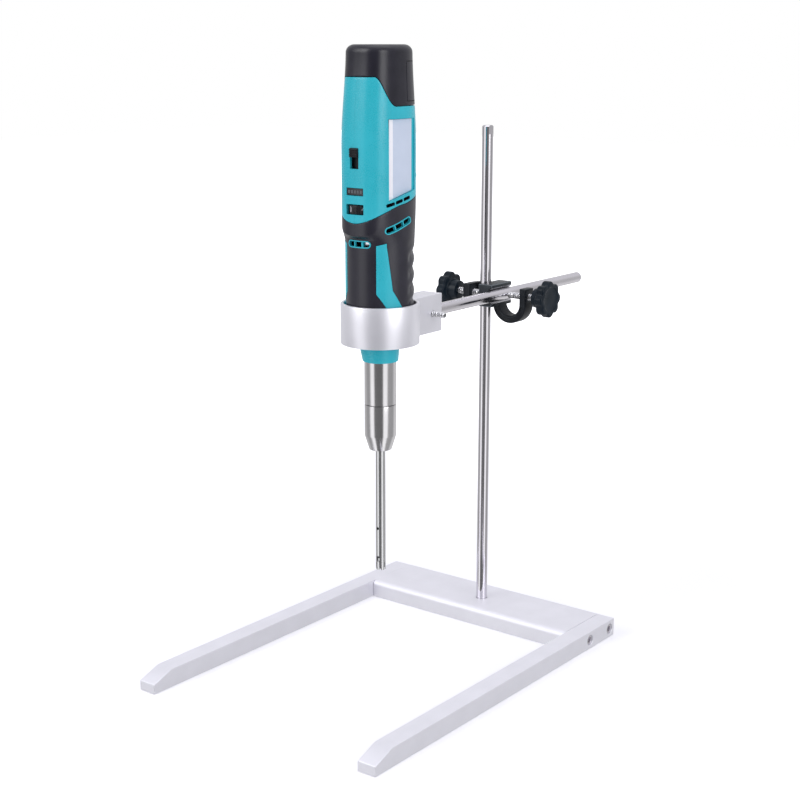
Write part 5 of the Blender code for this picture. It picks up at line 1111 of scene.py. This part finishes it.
# ---------------------------------------------------------------- upper housing
# Two glossy teal ABS halves with windows for switch, gauge and dial, slanted cooling
# slots and a flat label recess on each flank, held by screws from the left.
RECESS_PLANE = 0.0208
RECESS_HALF = 0.0164
RECESS_TOP = 0.172
RECESS_FRONT = 0.1099
RECESS_BACK = 0.1170
GAUGE_LEVEL = 0.1171
DIAL_LEVEL = 0.1035
WINDOWS = (
    (0.0, 0.1425, 0.0085, 0.0160), (0.0, GAUGE_LEVEL, 0.0166, 0.0060), (0.0, DIAL_LEVEL, 0.0170, 0.0080),
)
SLOT_ROW = (0.0288, 0.0026, (-0.0053, 0.1090), math.radians(11.1))
STEM_LIMIT = 0.0188
CAP_GAP = 0.00025


def cap_seam(angle):
    """Joint between housing and battery cap: high in front, stepping down on each flank."""
    share = ease((abs(angle) - math.radians(34.0)) / math.radians(48.0))
    return between(0.2035, 0.1815, share)


def rounded_window(centre_x, centre_z, wide, tall, radius=0.0006, steps=5):
    """Rectangle with rounded corners."""
    points = []
    for x, z, first in ((1, -1, -90), (1, 1, 0), (-1, 1, 90), (-1, -1, 180)):
        for step in range(steps + 1):
            angle = math.radians(first + 90.0 * step / steps)
            points.append((
                centre_x + x * (wide / 2 - radius) + radius * math.cos(angle),
                centre_z + z * (tall / 2 - radius) + radius * math.sin(angle),
            ))
    return points


def slanted_slots(length, tall, centre, tilt, gap=0.0012, count=3):
    """Outlines of a row of short slots that share one slanted line."""
    pitch = length / count
    slots = []
    for index in range(count):
        along = (index - (count - 1) / 2) * pitch
        slot = rounded_window(0.0, 0.0, pitch - gap, tall, min(0.0009, tall * 0.4))
        slots.append(tilted([(along + u, v) for u, v in slot], centre, tilt))
    return slots


def seam_of(angle):
    return grip_seam(angle) + SEAM_GAP


def crown_of(angle):
    return cap_seam(angle) - CAP_GAP


shares = [row / 64 for row in range(1, 64)]
recess = [
    (-RECESS_HALF, RECESS_FRONT), (RECESS_HALF, RECESS_BACK),
    (RECESS_HALF, RECESS_TOP), (-RECESS_HALF, RECESS_TOP),
]
for side, tag in ((1, "right"), (-1, "left")):
    outside = half_stack(side, seam_of, crown_of, shares)
    inside = []
    for row in range(25):
        inside.append(half_ring(
            side, lambda angle, share=row / 24: between(seam_of(angle), crown_of(angle), share), -SHELL_WALL,
            STEM_LIMIT,
        ))
    half = solid("housing_half_" + tag, half_shell, outside, inside, finish=housing_plastic)
    windows = solid("windows", prisms, [rounded_window(*window) for window in WINDOWS], through_front())
    slots = slanted_slots(*SLOT_ROW)
    # The slot walls take the dark grip plastic as painted shade, where the teal walls would lie in shadow.
    shade_walled_slots = solid("shade_walled_slots", prisms, slots, through_flank(side), finish=grip_plastic)
    label_recess = solid("label_recess", prism, recess, 0.02, through_flank(side, RECESS_PLANE))
    cut(half, screw_cutters(half, side, 2) + [windows, shade_walled_slots, label_recess])
    fitted(half, "tool", ["housing_" + tag], 32.0)

# ---------------------------------------------------------------- vent frames
# Slim teal rims pressed into the grip, one on each flank and one in front. Two bars
# split each into three slots over the motor's air holes.
VENT_RIM = 0.0008
VENT_COLUMNS = 160
VENT_ROWS = 36
VENT_REACH = 0.008


def skin_block(bm, angles, levels, offsets):
    """Curved block between two depths of the tool's skin, over a patch of angles and heights."""
    inner, outer = [
        [[bm.verts.new(on_skin(angle, level, offset)) for angle in angles] for level in levels]
        for offset in offsets
    ]
    bridged(bm, inner, False)
    bridged(bm, outer, False)
    for row in range(len(levels) - 1):
        for column in (0, -1):
            low, high = [(grid[row][column], grid[row + 1][column]) for grid in (inner, outer)]
            bm.faces.new((*low, *high[::-1]))
    for column in range(len(angles) - 1):
        for row in (0, -1):
            low, high = inner[row][column:column + 2], outer[row][column:column + 2]
            bm.faces.new((*low, *high[::-1]))


def vent_sheet(name, vent, tilt, place, side, shrink, lift, openings):
    """Part of a vent cut from the tool's own skin, so its face follows the grip."""
    y, height, length, tall = vent
    first = side * math.radians(40.0) if side else math.radians(-40.0)
    span = side * math.radians(90.0) if side else math.radians(80.0)
    angles = [first + span * column / VENT_COLUMNS for column in range(VENT_COLUMNS + 1)]
    low, high = height - VENT_REACH, height + VENT_REACH
    levels = [between(low, high, row / VENT_ROWS) for row in range(VENT_ROWS + 1)]
    offsets = (-SHELL_WALL + 0.0003, lift)
    piece = solid(name, skin_block, angles, levels, offsets, finish=housing_plastic)
    outline = stadium(length - 2 * shrink, tall - 2 * shrink, (y, height), tilt)
    cut(piece, [solid("vent_outline", prisms, [outline], place)], "INTERSECT")
    return cut(piece, [solid("vent_slots", prisms, openings, place)])


for tag, spot, tilt, place, side, node in (
    ("right", SIDE_VENT, VENT_TILT, through_flank(1), 1, "side_vent_right"),
    ("left", SIDE_VENT, VENT_TILT, through_flank(-1), -1, "side_vent_left"),
    ("front", FRONT_VENT, 0.0, through_front(), 0, "front_vent"),
):
    y, height, length, tall = spot
    inner_length, inner_tall = length - 2 * VENT_RIM, tall - 2 * VENT_RIM
    hole = stadium(inner_length, inner_tall, (y, height), tilt)
    rim = vent_sheet("vent_rim_" + tag, spot, tilt, place, side, 0.0, 0.0003, [hole])
    fitted(rim, "tool", [node], 32.0)
    slots = slanted_slots(inner_length + 0.0014, tall, (y, height), tilt, 0.0010)
    bars = vent_sheet("vent_bars_" + tag, spot, tilt, place, side, VENT_RIM, -0.0002, slots)
    fitted(bars, "tool", [], 32.0)

# ---------------------------------------------------------------- label plate
# Thin printed polyester plate in the right-hand recess, left without any words: a painted shadow line from
# the recess's front wall and a printed white band at its front edge, and a plain pale blue-grey field.
LABEL_BAND = -0.0106
LABEL_SHADOW_EDGE = -0.0154
LABEL_BACK = 0.0128
LABEL_GAP = 0.0003
LABEL_THICK = 0.0004


def label_print_and_shadow():
    tones = ((0.56, 0.63, 0.76), (0.60, 0.67, 0.80))
    finish, tree, height, mottle, field = grained("label_print_and_shadow", 0.3, 18.0, *tones)
    place = add_node(tree, "ShaderNodeTexCoord").outputs["Object"]
    along = add_node(tree, "ShaderNodeSeparateXYZ", {0: place}).outputs["Y"]
    # The white band is print; the dark strip in front of it is a painted shadow cast by the recess's front
    # wall.
    for end, ink_and_shadow in ((LABEL_BAND, (0.90, 0.90, 0.95)), (LABEL_SHADOW_EDGE, (0.012, 0.045, 0.055))):
        field = mixed(tree, math_node(tree, "LESS_THAN", along, TOOL_Y + end), field, ink_and_shadow)
    return skinned(finish, field, height, 0.34, 0.44, height, 0.004)


front, top = -RECESS_HALF + LABEL_GAP, RECESS_TOP - LABEL_GAP
back_low = between(RECESS_FRONT, RECESS_BACK, (LABEL_BACK + RECESS_HALF) / (2 * RECESS_HALF)) + LABEL_GAP
outline = [(front, RECESS_FRONT + LABEL_GAP), (LABEL_BACK, back_low), (LABEL_BACK, top), (front, top)]
place = through_flank(1, RECESS_PLANE + LABEL_GAP)
looks = {"finish": label_print_and_shadow(), "bevel": 0.0001, "steps": 2}
label = solid("printed_label", prism, outline, LABEL_THICK, place, **looks)
fitted(label, "tool", ["label_plate"])

# ---------------------------------------------------------------- housing screws
# Four cross-recessed steel screws, driven from the left into bosses of the right
# halves, draw each pair of mouldings together.
PAN_HEAD = [
    (0.0, -0.0235), (0.0006, -0.0235), (0.0013, -0.0215), (0.0013, 0.0), (0.0026, 0.0), (0.0026, 0.0012),
    (0.0022, 0.0018), (0.0013, 0.0021), (0.0, 0.0021),
]
CROSS_RECESS = ((0.0005, 0.0030), (0.0030, 0.0005))

for name, first in (("grip_screws", 0), ("upper_screws", 2)):
    pair = solid(name, lathe, PAN_HEAD, 40, finish=bright_steel)
    cut(pair, [
        solid("cross_recess", block, (-wide / 2, -tall / 2, 0.0011), (wide / 2, tall / 2, 0.0030))
        for wide, tall in CROSS_RECESS
    ])
    spots = [TOOL @ Vector((-depth, y, height)) for y, height, depth in SHELL_SCREWS[first:first + 2]]
    grown(
        pair, PART_ROW, Count=2, First=spots[0], Step=spots[1] - spots[0], Turn=(0.0, -math.pi / 2, 0.0),
        Finish=bright_steel,
    )
    nodes = ["housing_screw_%d" % (first + number) for number in (1, 2)]
    fitted(pair, "tool", nodes)

# ---------------------------------------------------------------- front controls
# Ribbed slide switch, a smoked gauge lens over five small lamps, and a thumb wheel for
# the speed, all carried on a board behind the front wall.
SLIDER_FACE = -0.0330
SLIDER_BACK = -0.0273
SLIDER_LOW = 0.1434
SLIDER_HIGH = 0.1502
SLIDER_HALF = 0.00395
RIB_FIRST = 0.14375
RIB_PITCH = 0.00128
LAMP_COUNT = 5
LAMP_PITCH = 0.0029
DIAL_CENTRE = TOOL @ Vector((0.0, -0.0232, DIAL_LEVEL))
DIAL_RADIUS = 0.009
DIAL_HALF = 0.0033
DIAL_STEPS = 480
DIAL_SECTOR = math.radians(72.0)
DIAL_FIRST = math.radians(-22.0)
GROOVE_PITCH = math.radians(8.0)
GROOVE_HALF = math.radians(2.6)

dark_nylon = moulded_plastic(
    "dark_nylon", (0.006, 0.006, 0.008), (0.010, 0.010, 0.013), 0.34, 0.46, 0.5, 0.015, shine=0.3
)
near = SLIDER_FACE + 0.0007
profile = [(SLIDER_BACK, SLIDER_LOW), (near, SLIDER_LOW)]
for rib in range(5):
    foot = RIB_FIRST + RIB_PITCH * rib
    profile += [
        (SLIDER_FACE + 0.0006, foot), (SLIDER_FACE, foot + 0.0003), (SLIDER_FACE, foot + 0.0007),
        (SLIDER_FACE + 0.0006, foot + 0.0010),
    ]
profile += [(near, SLIDER_HIGH), (SLIDER_BACK, SLIDER_HIGH)]
place = TOOL @ Matrix.Translation((-SLIDER_HALF, 0.0, 0.0)) @ STANDING
slider = solid(
    "switch_thumb_piece", prism, profile, 2 * SLIDER_HALF, place, finish=dark_nylon, bevel=0.00015, steps=2
)
fitted(slider, "switch", ["switch_slider"], 30.0)


def plain_gloss(name, colour, gloss):
    """Smooth moulding or ink with only a faint change of tone and gloss."""
    finish, tree, height, mottle, tone = grained(name, 0.7, 9.0, shaded(colour, 0.9), colour)
    return skinned(finish, tone, height, gloss * 0.85, gloss * 1.15)


window = rounded_window(0.0, GAUGE_LEVEL, 0.0160, 0.0054, 0.0008, 6)
lens = solid(
    "gauge_lens", prism, window, 0.0165, through_front(0.0140),
    finish=plain_gloss("smoked_lens", (0.020, 0.020, 0.024), 0.16), bevel=0.0003,
)
fitted(lens, "tool", ["battery_gauge"])
lamp_window = plain_gloss("lamp_window", (0.10, 0.11, 0.12), 0.35)
window = rounded_window(0.0, 0.0, 0.0019, 0.0024, 0.0003, 3)
lamps = solid("gauge_lamps", prism, window, 0.00008, FACING_FRONT, finish=lamp_window)
grown(
    lamps, PART_ROW, Count=LAMP_COUNT, First=TOOL @ Vector((-2 * LAMP_PITCH, -0.03052, GAUGE_LEVEL)),
    Step=(LAMP_PITCH, 0.0, 0.0), Turn=(0.0, 0.0, 0.0), Finish=lamp_window,
)
attach(lamps, "tool", [])


def wheel_rim(angle):
    """Rim radius of the thumb wheel: five grooves between each pair of digits."""
    turn = (angle - DIAL_FIRST) % DIAL_SECTOR - DIAL_SECTOR / 2
    sinks = [1.0 - abs(turn - groove * GROOVE_PITCH) / GROOVE_HALF for groove in (-2, -1, 0, 1, 2)]
    return DIAL_RADIUS - 0.0006 * ease(max(sinks))


def on_dial(reach, angle, height):
    """Point on the wheel, with angles from the front of the tool."""
    return DIAL_CENTRE + Vector((reach * math.sin(angle), -reach * math.cos(angle), height))


rims = [
    (-DIAL_HALF, 0.0010), (-DIAL_HALF, 0.0005), (-DIAL_HALF + 0.0002, 0.0001), (-DIAL_HALF + 0.0005, 0.0),
]
rims += [(-height, inset) for height, inset in rims[::-1]]
turns = [math.tau * step / DIAL_STEPS for step in range(DIAL_STEPS)]
bm = bmesh.new()
stacked(bm, [[on_dial(wheel_rim(turn) - inset, turn, height) for turn in turns] for height, inset in rims])
pivot = [DIAL_CENTRE - Vector((0.0, 0.0, DIAL_HALF - rise)) for rise in (-0.004, 0.0001)]
rod(bm, 0.0015, *pivot, 24)
wheel_nylon = moulded_plastic(
    "wheel_nylon", (0.016, 0.016, 0.019), (0.024, 0.024, 0.028), 0.24, 0.34, 0.5, 0.01
)
fitted(finished("thumb_wheel", bm, wheel_nylon), "dial", ["speed_dial"], 30.0)
bm = bmesh.new()
for number in range(5):
    letter = bpy.data.curves.new("digit", "FONT")
    letter.body = str(number + 1)
    letter.size = 0.0054
    letter.align_x = "CENTER"
    letter.align_y = "CENTER"
    letter.extrude = 0.00004
    carrier = placed("digit", letter)
    bpy.context.view_layer.update()
    shape = bpy.data.meshes.new_from_object(carrier.evaluated_get(bpy.context.evaluated_depsgraph_get()))
    for vert in shape.vertices:
        turn = DIAL_FIRST + DIAL_SECTOR * (number - 2) + vert.co.x / DIAL_RADIUS
        vert.co = on_dial(DIAL_RADIUS + 0.00002 + vert.co.z, turn, vert.co.y)
    bm.from_mesh(shape)
    bpy.data.objects.remove(carrier)
    bpy.data.curves.remove(letter)
    bpy.data.meshes.remove(shape)
digits = finished("dial_digits", bm, plain_gloss("digit_ink", (0.62, 0.62, 0.66), 0.45))
fitted(digits, "dial", [])


def dress(nodes, finish):
    """Gives carried solids a procedural finish without touching their meshes."""
    for node in nodes:
        solid_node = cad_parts[node]
        for holder in solid_node.material_slots:
            holder.link = "OBJECT"
            holder.material = finish


board_mask = moulded_plastic(
    "board_mask", (0.010, 0.075, 0.030), (0.016, 0.100, 0.042), 0.28, 0.40, 0.4, 0.01
)
dress(["switch_body", "speed_potentiometer"], dark_nylon)
dress(["control_board"], board_mask)

# ---------------------------------------------------------------- motor and drive
# Canned direct current motor on a nylon mount inside the grip, with a steel dog
# coupling on its shaft. Only seen with the probe out or through the vents.
copper = polished_steel("copper_winding", (0.72, 0.33, 0.16), 0.30, 0.45)
bush_polymer = moulded_plastic("bush_polymer", (0.70, 0.70, 0.68), (0.78, 0.78, 0.76), 0.35, 0.45)
dress(["motor_can", "drive_coupling"], bright_steel)
dress(["motor_mount"], dark_nylon)
dress(["motor_armature"], copper)
dress(["motor_bush_lower", "motor_bush_upper"], bush_polymer)

# ---------------------------------------------------------------- battery pack
# Dark nylon cap over a stem with three lithium cells, pushed into the top of the
# housing and let go by a sprung button on each flank.
CAP_COLUMNS = 288
CAP_ROUND = 0.006
STEM_HALF = (0.0182, 0.0196)
STEM_CORNER = 0.0095
STEM_FOOT = 0.1535
STEM_EDGE = 0.0006
LATCH_FROM = math.radians(98.0)
LATCH_TO = math.radians(131.0)
LATCH_LOW = 0.1850
LATCH_HIGH = 0.2150
LATCH_STEPS = 40
LATCH_GAP = 0.0002


def cap_foot(angle):
    return cap_seam(angle) + CAP_GAP


def cap_ring(height_of, offset, limit=0.1):
    """Loop on the skin of the cap, held within a half width."""
    ring = []
    for column in range(CAP_COLUMNS):
        angle = -math.pi + math.tau * column / CAP_COLUMNS
        x, y = body_skin(angle, height_of(angle), offset)
        ring.append(TOOL @ Vector((min(max(x, -limit), limit), y, height_of(angle))))
    return ring


def stem_ring(height_of, inset=0.0):
    """Loop of the stem: a rectangle with rounded corners."""
    ring = []
    wide, deep = STEM_HALF[0] - STEM_CORNER, STEM_HALF[1] - STEM_CORNER
    for column in range(CAP_COLUMNS):
        angle = -math.pi + math.tau * (column + 0.5) / CAP_COLUMNS
        across, along = math.sin(angle), -math.cos(angle)
        ring.append(TOOL @ Vector((
            math.copysign(wide, across) + (STEM_CORNER - inset) * across,
            math.copysign(deep, along) + (STEM_CORNER - inset) * along, height_of(angle),
        )))
    return ring


def latch_block(bm, side, grow, outer, inner):
    """Curved block of the cap's skin that a latch button fills, or its pocket."""
    spread = grow / GRIP_RADIUS
    shares = [step / LATCH_STEPS for step in range(LATCH_STEPS + 1)]
    angles = [side * between(LATCH_FROM - spread, LATCH_TO + spread, share) for share in shares]
    levels = [between(LATCH_LOW - grow, LATCH_HIGH + grow, share) for share in shares]
    skin_block(bm, angles, levels, (inner, outer))


cap_plastic = moulded_plastic(
    "cap_plastic", (0.0105, 0.010, 0.018), (0.016, 0.015, 0.025), 0.27, 0.36, 0.5, 0.015, shine=0.42
)
loops = [stem_ring(lambda angle: STEM_FOOT, STEM_EDGE), stem_ring(lambda angle: STEM_FOOT + STEM_EDGE)]
loops += [stem_ring(cap_foot), cap_ring(cap_foot, -SHELL_WALL, STEM_LIMIT)]
for near, far in quarter(4):
    loops.append(cap_ring(lambda angle: cap_foot(angle) + SHELL_EDGE * far, -SHELL_EDGE * near))
for row in range(1, 25):
    loops.append(cap_ring(
        lambda angle: between(cap_foot(angle) + SHELL_EDGE, TOOL_TOP - CAP_ROUND, row / 24), 0.0
    ))
for near, far in quarter(12, 1):
    loops.append(cap_ring(lambda angle: TOOL_TOP - CAP_ROUND * near, -CAP_ROUND * far))
cap = solid("battery_cap", stacked, loops, finish=cap_plastic)
cutters = [solid("latch_pocket", latch_block, side, LATCH_GAP, 0.004, -0.0032) for side in (1, -1)]
foot = TOOL @ Vector((0.0, 0.0, STEM_FOOT))
bm = bmesh.new()
for x in (-0.008, 0.0, 0.008):
    block(bm, foot + Vector((x - 0.0011, -0.006, -0.001)), foot + Vector((x + 0.0011, 0.006, 0.0030)))
cut(cap, cutters + [finished("contact_slots", bm)])
fitted(cap, "battery", ["battery_shell"], 32.0)
for side, tag in ((1, "right"), (-1, "left")):
    sizes = (side, -LATCH_GAP, 0.0, -0.0022)
    button = solid("latch_press_" + tag, latch_block, *sizes, finish=cap_plastic, bevel=0.0003, steps=2)
    fitted(button, "latch_" + tag, ["latch_button_" + tag], 32.0)
cell_film = moulded_plastic("cell_film", (0.055, 0.085, 0.20), (0.070, 0.105, 0.24), 0.25, 0.35)
dress(["battery_cell_1", "battery_cell_2", "battery_cell_3"], cell_film)
dress(["contact_block"], dark_nylon)

# ---------------------------------------------------------------- nose and sleeve
# Teal nose under the grip, leaning forward a little, and the turned stainless sleeve
# pressed up through it, with the spindle bearing in its top.
NOSE_SEGMENTS = 192
NOSE_MOUTH = 0.0146
NOSE_FOOT = -0.0205
NOSE_ROUND = 0.0009
NOSE_LEAN = 0.0003
COUPLING_RADIUS = 0.0130

nose_rows = [
    (NOSE_MOUTH - NOSE_ROUND * near, NOSE_FOOT + NOSE_ROUND * far, NOSE_LEAN) for near, far in quarter(6)
]
low = (NOSE_MOUTH, NOSE_FOOT + NOSE_ROUND, NOSE_LEAN)
for high, steps in (((0.0166, -0.0055, -0.0012), 10), ((0.0187, -0.0008, 0.0), 4)):
    for step in range(1, steps + 1):
        nose_rows.append([between(first, second, step / steps) for first, second in zip(low, high)])
    low = high
nose_rows += [
    (0.0187, 0.0030, 0.0), (0.0232, 0.0030, 0.0), (0.0232, 0.0060, 0.0), (0.0133, 0.0060, 0.0),
    (0.0133, NOSE_FOOT, 0.0),
]
turns = [math.tau * step / NOSE_SEGMENTS for step in range(NOSE_SEGMENTS)]
loops = [
    [TOOL @ Vector((radius * math.sin(turn), -radius * math.cos(turn) + lean, height)) for turn in turns]
    for radius, height, lean in nose_rows
]
nose = solid("teal_nose", stacked, loops, False, finish=housing_plastic)
fitted(nose, "tool", ["nose_cone"], 32.0)
turned_steel = polished_steel("turned_steel", (0.70, 0.69, 0.71), 0.12, 0.24, (60.0, 60.0, 5000.0))
sleeve = solid("steel_sleeve", lathe, [
    (0.0104, -0.0557), (0.0126, -0.0557), (0.0129, -0.0556), (COUPLING_RADIUS, -0.0553),
    (COUPLING_RADIUS, 0.0056), (0.0126, 0.0060), (0.0104, 0.0060),
], 192, TOOL, finish=turned_steel)
fitted(sleeve, "tool", ["coupling_sleeve"], 32.0)
dress(["spindle_bearing"], bright_steel)

# ---------------------------------------------------------------- dispersing probe
# Stainless collar that plugs into the sleeve on an O ring, the stator tube welded into
# it with its vent hole, window and slotted tip, and the shaft and rotor inside.
SEAL_LEVEL = -0.0440
TUBE_RADIUS = 0.0041
TUBE_BORE = 0.0033
TUBE_TIP = -0.1975
TUBE_TOP = -0.0620
WINDOW_LEVEL = -0.1878
VENT_LEVEL = -0.1615
SLOT_FOOT = -0.1990
SPINDLE_RADIUS = 0.0015
ROTOR_RADIUS = 0.0029
ROTOR_FOOT = -0.1967
ROTOR_TOP = -0.1877

collar = solid("collar_turning", lathe, [
    (0.0044, -0.0941), (0.0087, -0.0941), (0.0091, -0.0939), (0.0093, -0.0935), (0.01285, -0.0822),
    (COUPLING_RADIUS, -0.0816), (COUPLING_RADIUS, -0.0565), (0.0129, -0.0562), (0.0126, -0.0561),
    (0.0101, -0.0561), (0.0101, -0.0450), (0.0091, -0.0450), (0.0091, -0.0430), (0.0101, -0.0430),
    (0.0101, -0.0325), (0.0096, -0.0319), (0.0070, -0.0319), (0.0070, -0.0519), (0.0018, -0.0519),
    (0.0018, -0.0617), (0.0044, -0.0617),
], 192, TOOL, finish=turned_steel)
fitted(collar, "probe", ["probe_collar"], 28.0)
rubber = moulded_plastic("seal_rubber", (0.012, 0.012, 0.013), (0.018, 0.018, 0.019), 0.45, 0.60)
turns = [math.tau * step / 20 for step in range(20)]
section = [(0.009675 + 0.000275 * math.cos(turn), SEAL_LEVEL + 0.0007 * math.sin(turn)) for turn in turns]
seal = solid("o_ring", lathe, section, 128, TOOL, finish=rubber)
fitted(seal, "probe", ["collar_seal"], 60.0)


def slot_cutter(bm, low, high, turn):
    """Box turned about the tool's axis."""
    block(bm, low, high)
    bm.transform(TOOL @ Matrix.Rotation(turn, 4, "Z"))


tube_steel = polished_steel("tube_steel", (0.70, 0.70, 0.72), 0.14, 0.28)
tube = solid("stator_pipe", lathe, [
    (TUBE_BORE, TUBE_TIP), (TUBE_RADIUS - 0.0001, TUBE_TIP), (TUBE_RADIUS, TUBE_TIP + 0.0001),
    (TUBE_RADIUS, TUBE_TOP), (TUBE_BORE, TUBE_TOP),
], 96, TOOL, finish=tube_steel)
box = (-0.009, -0.0007, SLOT_FOOT), (0.009, 0.0007, -0.1910)
cutters = [solid("tooth_slot", slot_cutter, *box, math.pi * index / 3) for index in range(3)]
window = rounded_window(0.0, WINDOW_LEVEL, 0.0030, 0.0046, 0.0005)
cutters.append(solid("stator_window", prisms, [window], through_front(-0.015)))
vent = [TOOL @ Vector((0.0, side * 0.009, VENT_LEVEL)) for side in (-1, 1)]
cutters.append(solid("vent_hole", rod, 0.0012, *vent, 32))
cut(tube, cutters)
fitted(tube, "probe", ["stator_tube"], 30.0)

spindle = [(0.0, -0.1875), (SPINDLE_RADIUS, -0.1875), (SPINDLE_RADIUS, -0.0275), (0.0, -0.0275)]
shaft = solid("drive_spindle", lathe, spindle, 48, TOOL, finish=tube_steel)
dog = [TOOL @ Vector((x, y, z)) for x, y, z in ((-0.0012, -0.0042, -0.032), (0.0012, 0.0042, -0.024))]
joined(shaft, [solid("drive_dog", block, *dog)])
fitted(shaft, "probe_drive", ["drive_shaft"], 32.0)
rotor = solid("slotted_rotor", lathe, [
    (0.0, ROTOR_FOOT), (ROTOR_RADIUS - 0.0001, ROTOR_FOOT), (ROTOR_RADIUS, ROTOR_FOOT + 0.0001),
    (ROTOR_RADIUS, ROTOR_TOP), (0.0, ROTOR_TOP),
], 64, TOOL, finish=tube_steel)
box = (-0.006, -0.0008, SLOT_FOOT), (0.006, 0.0008, -0.1897)
cut(rotor, [solid("rotor_slot", slot_cutter, *box, math.pi * index / 2) for index in range(2)])
fitted(rotor, "probe_drive", ["rotor"], 30.0)
dress(["shaft_bush_upper", "shaft_bush_lower"], bush_polymer)
